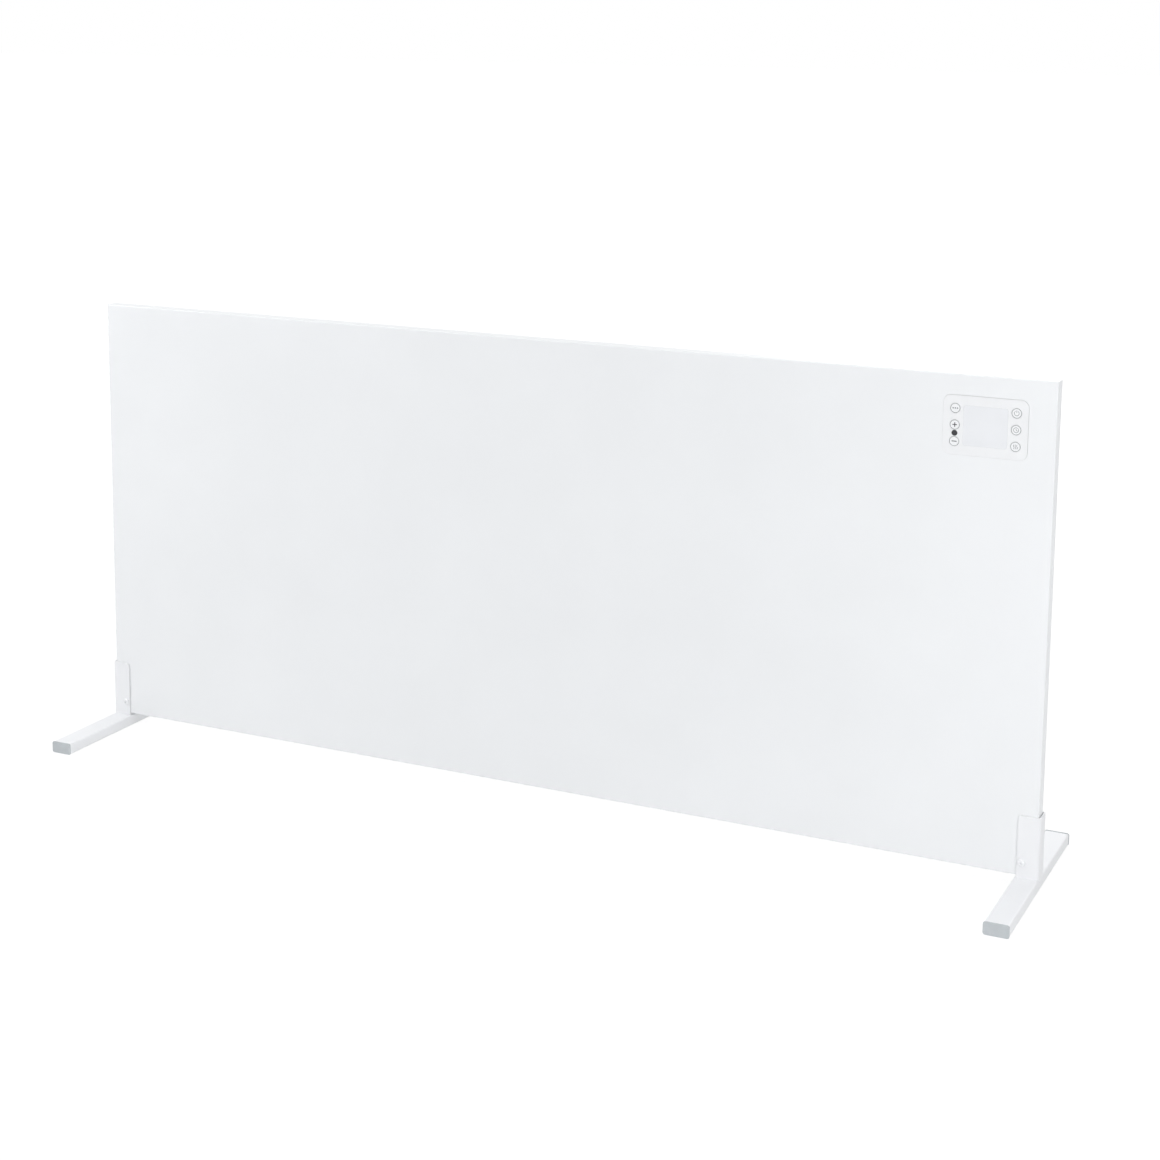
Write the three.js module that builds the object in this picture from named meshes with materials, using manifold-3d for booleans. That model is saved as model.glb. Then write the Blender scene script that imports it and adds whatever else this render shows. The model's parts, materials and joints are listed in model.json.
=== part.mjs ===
// Free-standing infrared heating panel on two T-feet.
// Millimetres. +X is to the right of someone who faces it, +Y is to the back, +Z is up.
// The origin is on the floor, under the middle of the panel.
import * as THREE from "three";
import { mergeVertices } from "three/addons/utils/BufferGeometryUtils.js";
import Module from "manifold-3d";

const wasm = await Module();
wasm.setup();

// Driving dimensions

// Gaps that the whole assembly shares
const seatGap = 0.25; // between two pieces that rest on each other
const fitGap = 0.3; // round a piece that sits in a hole or a recess
const overrun = 1; // how far a cutting solid passes the faces that it cuts
const weldTolerance = 1e-4; // vertices nearer than this are one vertex

// The thin white box that radiates
const panel = { width: 1350, height: 600, thickness: 22 };
const tray = { sheet: 1, lip: 12, innerBend: 1 };
const cover = { sheet: 0.8, inset: 2 };
const bead = {
  width: 14,
  height: 0.8,
  fromEdge: 75, // from the panel's left edge to a bead's left end
  spacing: 140,
  clearance: 30, // from a bead's right end to the electronics bay
};
const vent = { length: 34, width: 3, pitch: 8, count: 9, fromEdge: 26 };
const coverScrew = {
  headRadius: 3.3,
  headHeight: 1.8,
  shankRadius: 1.5,
  reach: 3.5, // of the shank past the tray's lip
  slotLength: 3.8,
  slotWidth: 0.9,
  slotDepth: 1,
};
const screwRowShares = [-0.88, -0.3, 0.3, 0.88]; // of half the panel's width
const screwCrownShare = 0.7; // of the head's radius that is flat on top
const stiffener = { width: 24, depth: 7, sheet: 1, endRoom: 3 };
const stiffenerPlaceShare = 0.37; // of half the panel's width

// What heats it
const mat = { thickness: 1, edgeRoom: 2.2 };
const limiter = {
  radius: 8,
  capHeight: 3,
  bodyRadius: 6.5,
  height: 8.5,
  tabWidth: 4.8,
  tabThickness: 0.8,
  tabLength: 5,
  tabInset: 0.8, // from the back of the limiter to its tabs
  fromBay: 60,
  spread: 35, // each limiter's height above or below the leads' notch
};
const lead = { radius: 1.25, bend: 10 };

// The corner of the case that holds the electronics: a tub with the power board and the mains switch
// side by side below the controls, and under them a row with the terminal block and the gland
const tub = {
  wall: 1.5,
  boardRoom: 14, // to the left of the board
  switchRoom: 16.5, // to the right of the mains switch
  rowSpacing: 40, // from the board down to the middle of the lower row
  lowerRoom: 72, // from there down to the tub's lower side
  bossRadius: 3,
  bossHeight: 4,
  notchWidth: 12,
  notchDepth: 12,
};
const powerBoard = {
  width: 100,
  height: 80,
  thickness: 1.6,
  belowControls: 20,
  fromSwitch: 7,
  bossInset: 6,
  margin: 7, // from the board's edge to the parts on it
};
const transformer = { width: 28, height: 26, fromCover: 3.35 };
const capacitor = { radius: 4.5, spacing: 11, count: 3, fromCover: 1.85 };
const relay = { width: 20, height: 15, fromCover: 2.1 };
const leadTerminal = { width: 9, height: 22, depth: 8 };
const ribbonSocket = { width: 22, height: 6, depth: 4 };
const terminalBlock = { width: 32, height: 16, depth: 11, wellRadius: 1.8, wellDepth: 4, wells: 3 };
const tiltSwitch = { width: 20, height: 14, depth: 9, pinRadius: 0.5, pinLength: 3 };
const roomSensor = { radius: 2.6, length: 16, clipWidth: 8, clipHeight: 7, clipSheet: 2 };
const ribbon = { width: 18, thickness: 0.8, rise: 3, inset: 2 };

// The mains switch in the rear cover
const rocker = {
  width: 9.6,
  endRadius: 7.9,
  skirt: 1.5,
  trunnionRadius: 1.2,
  trunnionLength: 1.2,
  tiltDegrees: 11, // from level to either end
};
const rockerFrame = {
  wall: 1.4,
  rim: 1.1,
  rimHeight: 1.6,
  pivotDepth: 2.5,
  floor: 6.5,
  bladeLength: 5,
  bladeWidth: 4.8,
  bladeThickness: 0.8,
  bladeSpacing: 6.5,
};

// The cord's way out of the case
const gland = {
  bore: 3.75,
  stemRadius: 6,
  hexRadius: 8.6,
  hexHeight: 3.5,
  domeRadius: 7.2,
  domeHeight: 3.5,
  shoulderRadius: 6.2,
  shoulderHeight: 3.5,
  mouthRadius: 5.2,
  mouthHeight: 2.5,
  nutHeight: 4,
  stemRoom: 1.5, // stem that shows past the nut
};

// The control panel in the top right corner of the face
const controls = { fromSide: 83.5, fromTop: 60.5 };
const fascia = {
  sideRim: 14.15, // from the middle of the outer keys to the fascia's sides
  endRim: 15.7, // and to its top and bottom
  thickness: 1.5,
  corner: 9,
  recess: 0.25,
};
const key = {
  radius: 5.85,
  gap: 0.25,
  flangeRim: 1,
  flangeHeight: 0.8,
  stemRadius: 2,
  stemLength: 3,
  travel: 0.5,
  rowPitch: 19.8,
  columnSpacing: 72.7,
};
const displayWindow = { fromKeys: 4, fromTop: 11.5, corner: 3, gap: 0.15, rim: 1.2, rimHeight: 0.8 };
const irWindow = { web: 0.5, gap: 0.2, rim: 0.8, rimHeight: 0.7 };
const housing = { rim: 4, ledge: 2.5, pocket: 1.5, skirt: 1 };
const board = { thickness: 1.6, switchWidth: 6, switchHeight: 1.5 };
const display = { inset: 3.5, height: 26 };
const receiver = { width: 6 };

// The feet
const tube = { width: 30, height: 15, length: 302, wall: 1.5, corner: 2.5 };
const cap = { proud: 0.5, head: 1.5, corner: 3, plugLength: 12, plugWall: 1.5 };
const bracket = {
  width: 27,
  sheet: 2,
  height: 78,
  corner: 4,
  innerBend: 1.5,
  faceClearance: 0.3,
  sideClearance: 1,
};
const spacer = { radius: 5 };
const bolt = {
  radius: 2.5,
  headRadius: 4.75,
  headHeight: 2.6,
  socketRadius: 1.7,
  socketDepth: 1.5,
  edgeRoom: 1.2, // from the spacer to the tray's side lip, beyond the fit
  pastNut: 1.5,
};
const boltCrownShares = [[0.7, 1], [0.93, 0.62], [1, 0.35]]; // of the head's radius and height
const nut = { radius: 4.6, height: 4 };

// Facets
const roundSides = 24;
const smallSides = 12;
const leadSides = 8;
const leadSteps = 24;
const cornerSegments = 5; // in each half of an outline's rounded corner
const slotSegments = 2;
const hexSides = 6;

// Materials

function finish(colour, roughness, metalness) {
  return new THREE.MeshStandardMaterial({ color: colour, roughness, metalness });
}

const whitePaint = finish(0xf3f4f4, 0.42, 0);
const whitePlastic = finish(0xf6f7f7, 0.35, 0);
const palePrint = finish(0xe9ebed, 0.3, 0);
const darkLens = finish(0x1d1f22, 0.2, 0);
const greyPlastic = finish(0xc4c7c9, 0.5, 0);
const blackPlastic = finish(0x1b1b1c, 0.5, 0);
const zincSteel = finish(0xb9bcbf, 0.4, 0.9);
const nickelSteel = finish(0xc8cacc, 0.3, 1);
const mineralFibre = finish(0xe2dccb, 0.95, 0);
const heaterFilm = finish(0x2c2a29, 0.7, 0.1);
const boardGreen = finish(0x2e6b45, 0.55, 0);
const relayBlue = finish(0x2c5e9c, 0.45, 0);
const wireRed = finish(0x9c3a30, 0.5, 0);

// Joining and cutting

// A closed geometry as a solid that can be joined and cut.
function solid(geometry) {
  const bare = geometry.index ? geometry.toNonIndexed() : geometry.clone();
  bare.deleteAttribute("normal");
  bare.deleteAttribute("uv");
  const merged = mergeVertices(bare, weldTolerance);
  const vertProperties = merged.attributes.position.array;
  const triVerts = new Uint32Array(merged.index.array);
  return new wasm.Manifold(new wasm.Mesh({ numProp: 3, vertProperties, triVerts }));
}

// The geometry of a solid, with flat faces.
function geometryOf(made) {
  const mesh = made.getMesh();
  const geometry = new THREE.BufferGeometry();
  geometry.setAttribute("position", new THREE.BufferAttribute(mesh.vertProperties, 3));
  geometry.setIndex(new THREE.BufferAttribute(mesh.triVerts, 1));
  const flat = geometry.toNonIndexed();
  flat.computeVertexNormals();
  return flat;
}

function join(first, ...rest) {
  return rest.reduce((made, next) => made.add(next), first);
}

function cut(whole, ...tools) {
  return tools.reduce((made, tool) => made.subtract(tool), whole);
}

// Adds a named piece to a group, at a place in that group.
function piece(group, name, material, shape, place = [0, 0, 0]) {
  const geometry = shape.isBufferGeometry ? shape : geometryOf(shape);
  const mesh = new THREE.Mesh(geometry, material);
  mesh.name = name;
  mesh.position.set(...place);
  group.add(mesh);
  return mesh;
}

// Basic solids

// A block from its lowest corner to its highest.
function block([x0, y0, z0], [x1, y1, z1]) {
  const geometry = new THREE.BoxGeometry(x1 - x0, y1 - y0, z1 - z0);
  return solid(geometry.translate((x0 + x1) / 2, (y0 + y1) / 2, (z0 + z1) / 2));
}

// An outline in X and Z, as someone in front sees it, made solid from y0 back to y1.
function slab(outline, y0, y1, curveSegments = cornerSegments) {
  const geometry = new THREE.ExtrudeGeometry(outline, { depth: y1 - y0, bevelEnabled: false, curveSegments });
  return solid(geometry.rotateX(Math.PI / 2).translate(0, y1, 0));
}

function polygon(points) {
  return new THREE.Shape(points.map(([x, y]) => new THREE.Vector2(x, y)));
}

function rectangle(width, height, x = 0, z = 0) {
  const [w, h] = [width / 2, height / 2];
  return polygon([[x - w, z - h], [x + w, z - h], [x + w, z + h], [x - w, z + h]]);
}

function roundedRectangle(width, height, radius, x = 0, z = 0) {
  const [w, h] = [width / 2 - radius, height / 2 - radius];
  const shape = new THREE.Shape();
  shape.absarc(x + w, z + h, radius, 0, Math.PI / 2);
  shape.absarc(x - w, z + h, radius, Math.PI / 2, Math.PI);
  shape.absarc(x - w, z - h, radius, Math.PI, Math.PI * 1.5);
  shape.absarc(x + w, z - h, radius, Math.PI * 1.5, Math.PI * 2);
  shape.closePath();
  return shape;
}

// An outline in Z and Y made solid along X, about the middle of its width.
function beam(outline, width) {
  const options = { depth: width, bevelEnabled: false, curveSegments: cornerSegments };
  const geometry = new THREE.ExtrudeGeometry(outline, options);
  return geometry.rotateY(-Math.PI / 2).translate(width / 2, 0, 0);
}

// An outline in X and Y made solid from z0 up to z1.
function post(outline, z0, z1) {
  const options = { depth: z1 - z0, bevelEnabled: false, curveSegments: cornerSegments };
  return solid(new THREE.ExtrudeGeometry(outline, options).translate(0, 0, z0));
}

// A block from y0 back to y1 with half its width and height given, and with the edges along its sides
// rounded, as folds leave them.
function foldedBlock(halfWidth, halfHeight, y0, y1, radius) {
  const [depth, middle] = [y1 - y0, (y0 + y1) / 2];
  const upright = post(roundedRectangle(2 * halfWidth, depth, radius, 0, middle), -halfHeight, halfHeight);
  const level = beam(roundedRectangle(2 * halfHeight, depth, radius, 0, middle), 2 * halfWidth);
  return upright.intersect(solid(level));
}

// A round or many-sided rod along Y.
function rod(radius, y0, y1, x = 0, z = 0, sides = roundSides) {
  const geometry = new THREE.CylinderGeometry(radius, radius, y1 - y0, sides);
  return solid(geometry.translate(x, (y0 + y1) / 2, z));
}

// A turned solid about Y. The profile holds [radius, y], and runs on or round the axis.
function turned(profile, sides = roundSides) {
  const points = profile.map(([radius, y]) => new THREE.Vector2(radius, y));
  return new THREE.LatheGeometry(points, sides);
}

// A turned solid with a hole along its axis: the profile closes on itself.
function turnedRing(profile, sides = roundSides) {
  return turned([...profile, profile[0]], sides);
}

// Places that more than one piece follows

const half = { x: panel.width / 2, z: panel.height / 2 };
const front = -panel.thickness / 2;
const back = panel.thickness / 2;
const stiffenerX = stiffenerPlaceShare * half.x;
const coverFront = back - cover.sheet;
const lipBack = coverFront - seatGap;
const insideFront = front + tray.sheet;
const insideBack = coverFront - seatGap; // where what leans on the rear cover ends
const matFront = insideFront + seatGap;
const matBack = matFront + mat.thickness;

const boltX = half.x - tray.lip - fitGap - spacer.radius - bolt.edgeRoom;
const boltZ = -half.z + tray.lip + fitGap + spacer.radius;
const boltHole = bolt.radius + fitGap;
const matMarginX = half.x - boltX + spacer.radius + mat.edgeRoom;
const matMarginZ = boltZ + half.z + spacer.radius + mat.edgeRoom;

const tubeBottom = cap.proud;
const tubeTop = tubeBottom + tube.height;
const panelBottom = tubeTop + bracket.sheet + seatGap;
const panelMiddle = panelBottom + half.z;
const footX = half.x + bracket.sideClearance + bracket.sheet - tube.width / 2;
const flangeFace = back + bracket.faceClearance + bracket.sheet;

const controlsX = half.x - controls.fromSide;
const controlsZ = half.z - controls.fromTop;
const fasciaWidth = key.columnSpacing + 2 * fascia.sideRim;
const fasciaHeight = 2 * (key.rowPitch + fascia.endRim);
const fasciaFront = front + fascia.recess;
const fasciaBack = fasciaFront + fascia.thickness;
const keyHole = key.radius + key.gap;
const keyFlangeBack = fasciaBack + seatGap + key.flangeHeight;
const keyStemBack = keyFlangeBack + key.stemLength;
const boardFront = keyStemBack + key.travel + fitGap + board.switchHeight;
const boardBack = boardFront + board.thickness;
const keyColumns = [-key.columnSpacing / 2, key.columnSpacing / 2];
const keyRows = [key.rowPitch, 0, -key.rowPitch];
const keyFlange = keyHole + key.flangeRim;
const irPlace = [keyColumns[0], -key.rowPitch / 2];
const irHole = key.rowPitch / 2 - keyHole - irWindow.web;
const windowWidth = key.columnSpacing - 2 * (key.radius + displayWindow.fromKeys);
const windowHeight = fasciaHeight - 2 * displayWindow.fromTop;
const housingSize = { x: fasciaWidth / 2 + housing.rim, z: fasciaHeight / 2 + housing.rim };

const bayRight = half.x - tray.lip - fitGap;
const bayTop = half.z - tray.lip - fitGap;
const switchSize = rockerFrameSize();
const rockerX = bayRight - tub.switchRoom - switchSize.bodyWidth / 2;
const boardLeft = rockerX - switchSize.bodyWidth / 2 - powerBoard.fromSwitch - powerBoard.width;
const boardTop = controlsZ - housingSize.z - fitGap - powerBoard.belowControls;
const boardMiddleX = boardLeft + powerBoard.width / 2;
const boardMiddleZ = boardTop - powerBoard.height / 2;
const rockerZ = boardMiddleZ;
const glandX = rockerX;
const glandZ = boardTop - powerBoard.height - tub.rowSpacing;
const bayLeft = boardLeft - tub.boardRoom - tub.wall;
const bayBottom = glandZ - tub.lowerRoom;
const bayMiddle = (bayLeft + bayRight) / 2;
const ventTop = bayTop - vent.fromEdge;
const ventBottom = bayBottom + vent.fromEdge;
const trayFloor = insideFront + seatGap + tub.wall;
const powerBoardFront = trayFloor + tub.bossHeight + seatGap;
const powerBoardBack = powerBoardFront + powerBoard.thickness;
const leadY = powerBoardBack + leadTerminal.depth / 2;
const limiterBack = matBack + seatGap + limiter.height;
const tabY = limiterBack - limiter.tabInset - limiter.tabThickness / 2;

// The object, and the group whose middle is the middle of the panel
const heater = new THREE.Group();
const caseGroup = new THREE.Group();
caseGroup.position.set(0, 0, panelMiddle);
heater.add(caseGroup);

// The places of the cover's screws, on the middle line of the tray's lips
function coverScrewPlaces() {
  const line = (cover.inset + tray.lip) / 2;
  const places = [];
  screwRowShares.forEach((share, index) => {
    places.push({ name: `cover_screw_top_${index + 1}`, x: share * half.x, z: half.z - line });
    places.push({ name: `cover_screw_bottom_${index + 1}`, x: share * half.x, z: -half.z + line });
  });
  places.push({ name: "cover_screw_left", x: -half.x + line, z: 0 });
  places.push({ name: "cover_screw_right", x: half.x - line, z: 0 });
  return places;
}

const screwPlaces = coverScrewPlaces();

// Panel case

function frontTray() {
  const outside = foldedBlock(half.x, half.z, front, lipBack, tray.innerBend + tray.sheet);
  const [hollowX, hollowZ] = [half.x - tray.sheet, half.z - tray.sheet];
  const hollow = foldedBlock(hollowX, hollowZ, insideFront, lipBack - tray.sheet, tray.innerBend);
  const mouth = block(
    [-half.x + tray.lip, 0, -half.z + tray.lip],
    [half.x - tray.lip, lipBack + overrun, half.z - tray.lip]
  );
  const opening = grownFascia(fitGap, controlsX, controlsZ);
  const holes = screwPlaces.map(({ x, z }) =>
    rod(coverScrew.shankRadius + fitGap, lipBack - tray.sheet - overrun, lipBack + overrun, x, z, smallSides)
  );
  const boltHoles = [-boltX, boltX].map((x) =>
    rod(boltHole, front - overrun, insideFront + overrun, x, boltZ, smallSides)
  );
  const controlsHole = slab(opening, front - overrun, insideFront + overrun);
  return cut(outside, hollow, mouth, controlsHole, ...holes, ...boltHoles);
}

function ventGroup(z) {
  const slots = [];
  for (let index = 0; index < vent.count; index += 1) {
    const x = bayMiddle + (index - (vent.count - 1) / 2) * vent.pitch;
    const slot = roundedRectangle(vent.width, vent.length, vent.width / 2, x, z);
    slots.push(slab(slot, coverFront - overrun, back + overrun, slotSegments));
  }
  return slots;
}

function rearCover() {
  const [width, height] = [panel.width - 2 * cover.inset, panel.height - 2 * cover.inset];
  const sheet = slab(rectangle(width, height), coverFront, back);
  const [left, right] = [-half.x + bead.fromEdge, bayLeft - bead.clearance];
  const [beadLength, beadMiddle] = [right - left, (left + right) / 2];
  const beads = [-bead.spacing, 0, bead.spacing].map((z) => {
    const outline = roundedRectangle(beadLength, bead.width, bead.width / 2, beadMiddle, z);
    return slab(outline, back - cover.sheet / 2, back + bead.height);
  });
  const through = [coverFront - overrun, back + overrun];
  const holes = screwPlaces.map(({ x, z }) =>
    rod(coverScrew.shankRadius + fitGap, ...through, x, z, smallSides)
  );
  const boltHoles = [-boltX, boltX].map((x) => rod(boltHole, ...through, x, boltZ, smallSides));
  const { bodyWidth, bodyHeight } = switchSize;
  const switchOutline = rectangle(bodyWidth + 2 * fitGap, bodyHeight + 2 * fitGap, rockerX, rockerZ);
  const switchHole = slab(switchOutline, ...through);
  const glandHole = rod(gland.stemRadius + fitGap, ...through, glandX, glandZ);
  const vents = [...ventGroup(ventTop), ...ventGroup(ventBottom)];
  return cut(join(sheet, ...beads), ...holes, ...boltHoles, switchHole, glandHole, ...vents);
}

// A pan-head screw whose head faces +Y, from the head's seat at zero.
function panScrew() {
  const { headRadius, headHeight, shankRadius, reach, slotLength, slotWidth, slotDepth } = coverScrew;
  const tip = -cover.sheet - seatGap - tray.sheet - reach;
  const top = seatGap + headHeight;
  const screw = turned([
    [0, tip],
    [shankRadius / 2, tip],
    [shankRadius, tip + shankRadius],
    [shankRadius, seatGap],
    [headRadius, seatGap],
    [headRadius, top - headHeight / 2],
    [headRadius * screwCrownShare, top],
    [0, top],
  ], smallSides);
  const [length, width] = [slotLength / 2, slotWidth / 2];
  const across = block([-length, top - slotDepth, -width], [length, top + overrun, width]);
  const upright = block([-width, top - slotDepth, -length], [width, top + overrun, length]);
  return cut(solid(screw), across, upright);
}

// A channel that opens to the rear cover.
function stiffenerChannel() {
  const reach = half.z - tray.lip - stiffener.endRoom;
  const web = insideBack - stiffener.depth;
  const outside = block([-stiffener.width / 2, web, -reach], [stiffener.width / 2, insideBack, reach]);
  const inside = stiffener.width / 2 - stiffener.sheet;
  const hollow = block(
    [-inside, web + stiffener.sheet, -reach - overrun], [inside, insideBack + overrun, reach + overrun]
  );
  return cut(outside, hollow);
}

function cornerSpacer() {
  return turnedRing([
    [boltHole, insideFront + seatGap],
    [spacer.radius, insideFront + seatGap],
    [spacer.radius, insideBack],
    [boltHole, insideBack],
  ], smallSides);
}

piece(caseGroup, "front_tray", whitePaint, frontTray());
piece(caseGroup, "rear_cover", whitePaint, rearCover());
screwPlaces.forEach(({ name, x, z }) => piece(caseGroup, name, nickelSteel, panScrew(), [x, back, z]));
piece(caseGroup, "stiffener_left", zincSteel, stiffenerChannel(), [-stiffenerX, 0, 0]);
piece(caseGroup, "stiffener_right", zincSteel, stiffenerChannel(), [stiffenerX, 0, 0]);
piece(caseGroup, "corner_spacer_left", zincSteel, cornerSpacer(), [-boltX, 0, boltZ]);
piece(caseGroup, "corner_spacer_right", zincSteel, cornerSpacer(), [boltX, 0, boltZ]);

// Heating

// The inside of the case without its edges and without the electronics bay
function heatedOutline() {
  const [x, z] = [half.x - matMarginX, half.z - matMarginZ];
  const [stepX, stepZ] = [bayLeft - fitGap, bayBottom - fitGap];
  return polygon([[-x, -z], [x, -z], [x, stepZ], [stepX, stepZ], [stepX, z], [-x, z]]);
}

const limiterX = bayLeft - limiter.fromBay;
const notchZ = boardMiddleZ;
const limiterPlaces = { upper: notchZ + limiter.spread, lower: notchZ - limiter.spread };

function insulation() {
  const blanket = slab(heatedOutline(), matBack + seatGap, insideBack);
  const grooves = [-stiffenerX, stiffenerX].map((x) => {
    const reach = stiffener.width / 2 + fitGap;
    const floor = insideBack - stiffener.depth - fitGap;
    return block([x - reach, floor, -half.z], [x + reach, insideBack + overrun, half.z]);
  });
  const pockets = Object.values(limiterPlaces).map((z) => {
    const reach = limiter.radius + limiter.tabLength + fitGap;
    return block([limiterX - reach, matBack, z - reach], [limiterX + reach, insideBack + overrun, z + reach]);
  });
  const reach = lead.bend + 2 * lead.radius + fitGap;
  const low = limiterPlaces.lower - reach;
  const high = limiterPlaces.upper + reach;
  const leadSpace = block([limiterX, leadY - reach, low], [bayLeft, insideBack + overrun, high]);
  return cut(blanket, ...grooves, ...pockets, leadSpace);
}

// A bimetal disc thermostat that lies on the mat, with a tab to each side.
function limiterDisc() {
  const seat = matBack + seatGap;
  const disc = solid(turned([
    [0, seat],
    [limiter.radius, seat],
    [limiter.radius, seat + limiter.capHeight],
    [limiter.bodyRadius, seat + limiter.capHeight],
    [limiter.bodyRadius, limiterBack],
    [0, limiterBack],
  ], smallSides));
  const reach = limiter.bodyRadius + limiter.tabLength;
  const tabs = block(
    [-reach, tabY - limiter.tabThickness / 2, -limiter.tabWidth / 2],
    [reach, tabY + limiter.tabThickness / 2, limiter.tabWidth / 2]
  );
  return join(disc, tabs);
}

// A lead from the power board's terminal, through the tray's notch, to a limiter's tab.
function heaterLead(side) {
  const z = notchZ + side * (lead.radius * 2 + fitGap);
  const tabZ = side > 0 ? limiterPlaces.upper : limiterPlaces.lower;
  const tabX = limiterX + limiter.bodyRadius + limiter.tabLength + fitGap;
  const path = new THREE.CatmullRomCurve3([
    new THREE.Vector3(boardLeft + powerBoard.margin - fitGap, leadY, z),
    new THREE.Vector3(bayLeft + tub.wall / 2, leadY, z),
    new THREE.Vector3(bayLeft - lead.bend, leadY, z),
    new THREE.Vector3((tabX + lead.bend + bayLeft) / 2, (leadY + tabY) / 2, (z + tabZ) / 2),
    new THREE.Vector3(tabX + lead.bend, tabY, tabZ),
    new THREE.Vector3(tabX, tabY, tabZ),
  ]);
  const ring = [];
  for (let index = 0; index < leadSides; index += 1) {
    const angle = (index / leadSides) * 2 * Math.PI;
    ring.push([lead.radius * Math.cos(angle), lead.radius * Math.sin(angle)]);
  }
  return new THREE.ExtrudeGeometry(polygon(ring), { steps: leadSteps, extrudePath: path });
}

piece(caseGroup, "heating_mat", heaterFilm, slab(heatedOutline(), matFront, matBack));
piece(caseGroup, "insulation_blanket", mineralFibre, insulation());
piece(caseGroup, "thermal_cutout_upper", zincSteel, limiterDisc(), [limiterX, 0, limiterPlaces.upper]);
piece(caseGroup, "thermal_cutout_lower", zincSteel, limiterDisc(), [limiterX, 0, limiterPlaces.lower]);
piece(caseGroup, "heater_lead_upper", wireRed, heaterLead(1));
piece(caseGroup, "heater_lead_lower", wireRed, heaterLead(-1));

// Electronics

function electronicsTub() {
  const wall = tub.wall;
  const outside = block([bayLeft, insideFront + seatGap, bayBottom], [bayRight, insideBack, bayTop]);
  const inside = block(
    [bayLeft + wall, trayFloor, bayBottom + wall],
    [bayRight + overrun, insideBack + overrun, bayTop + overrun]
  );
  const [reachX, reachZ] = [housingSize.x + fitGap, housingSize.z + fitGap];
  const window = block(
    [controlsX - reachX, insideFront, controlsZ - reachZ],
    [controlsX + reachX, insideBack, controlsZ + reachZ]
  );
  const notch = block(
    [bayLeft - overrun, insideBack - tub.notchDepth, notchZ - tub.notchWidth / 2],
    [bayLeft + wall + overrun, insideBack + overrun, notchZ + tub.notchWidth / 2]
  );
  const x = powerBoard.width / 2 - powerBoard.bossInset;
  const z = powerBoard.height / 2 - powerBoard.bossInset;
  const bosses = [[-x, -z], [x, -z], [x, z], [-x, z]].map(([dx, dz]) =>
    rod(
      tub.bossRadius, trayFloor - wall / 2, powerBoardFront - seatGap,
      boardMiddleX + dx, boardMiddleZ + dz, smallSides
    )
  );
  return join(cut(outside, inside, window, notch), ...bosses);
}

// A part that stands on the power board and ends at y1, from its middle.
function boardPart(x, z, { width, height }, y1) {
  const seat = powerBoardBack - powerBoard.thickness / 2;
  const [w, h] = [width / 2, height / 2];
  return block([x - w, seat, z - h], [x + w, y1, z + h]);
}

function powerBoardWithParts() {
  const [w, h] = [powerBoard.width / 2, powerBoard.height / 2];
  const sheet = block([-w, powerBoardFront, -h], [w, powerBoardBack, h]);
  const transformerPart = boardPart(
    w - powerBoard.margin - transformer.width / 2,
    -h + powerBoard.margin + transformer.height / 2,
    transformer,
    insideBack - transformer.fromCover
  );
  const terminalX = -w + powerBoard.margin + leadTerminal.width / 2;
  const terminal = boardPart(terminalX, 0, leadTerminal, powerBoardBack + leadTerminal.depth);
  const socketZ = h - powerBoard.margin - ribbonSocket.height / 2;
  const socket = boardPart(0, socketZ, ribbonSocket, powerBoardBack + ribbonSocket.depth);
  const cans = [];
  for (let index = 0; index < capacitor.count; index += 1) {
    const x = w - powerBoard.margin - capacitor.radius - index * capacitor.spacing;
    const z = h - powerBoard.margin - ribbonSocket.height - capacitor.spacing;
    const seat = powerBoardBack - powerBoard.thickness / 2;
    cans.push(rod(capacitor.radius, seat, insideBack - capacitor.fromCover, x, z, smallSides));
  }
  return join(sheet, transformerPart, terminal, socket, ...cans);
}

function relayBox() {
  const seat = powerBoardBack + seatGap;
  const depth = insideBack - relay.fromCover - seat;
  const geometry = new THREE.BoxGeometry(relay.width, depth, relay.height);
  return geometry.translate(0, seat + depth / 2, 0);
}

function terminalStrip() {
  const { width, height, depth, wellRadius, wellDepth, wells } = terminalBlock;
  const strip = block([-width / 2, 0, -height / 2], [width / 2, depth, height / 2]);
  const holes = [];
  for (let index = 0; index < wells; index += 1) {
    const x = ((2 * index + 1) / wells - 1) * (width / 2);
    holes.push(rod(wellRadius, depth - wellDepth, depth + overrun, x, height / 4, smallSides));
    holes.push(rod(wellRadius, depth - wellDepth, depth + overrun, x, -height / 4, smallSides));
  }
  return cut(strip, ...holes);
}

function tiltSwitchBox() {
  const { width, height, depth, pinRadius, pinLength } = tiltSwitch;
  const box = block([-width / 2, 0, -height / 2], [width / 2, depth, height / 2]);
  const pins = [-width / 4, width / 4].map((x) =>
    rod(pinRadius, depth - pinLength, depth + pinLength, x, 0, smallSides)
  );
  return join(box, ...pins);
}

function sensorBead() {
  const { radius, length, clipWidth, clipHeight, clipSheet } = roomSensor;
  const capsule = new THREE.CapsuleGeometry(radius, length, cornerSegments, smallSides);
  const clip = block([-clipWidth / 2, 0, -clipSheet / 2], [clipWidth / 2, clipHeight, clipSheet / 2]);
  return join(solid(capsule.rotateZ(Math.PI / 2).translate(0, clipHeight, 0)), clip);
}

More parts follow.
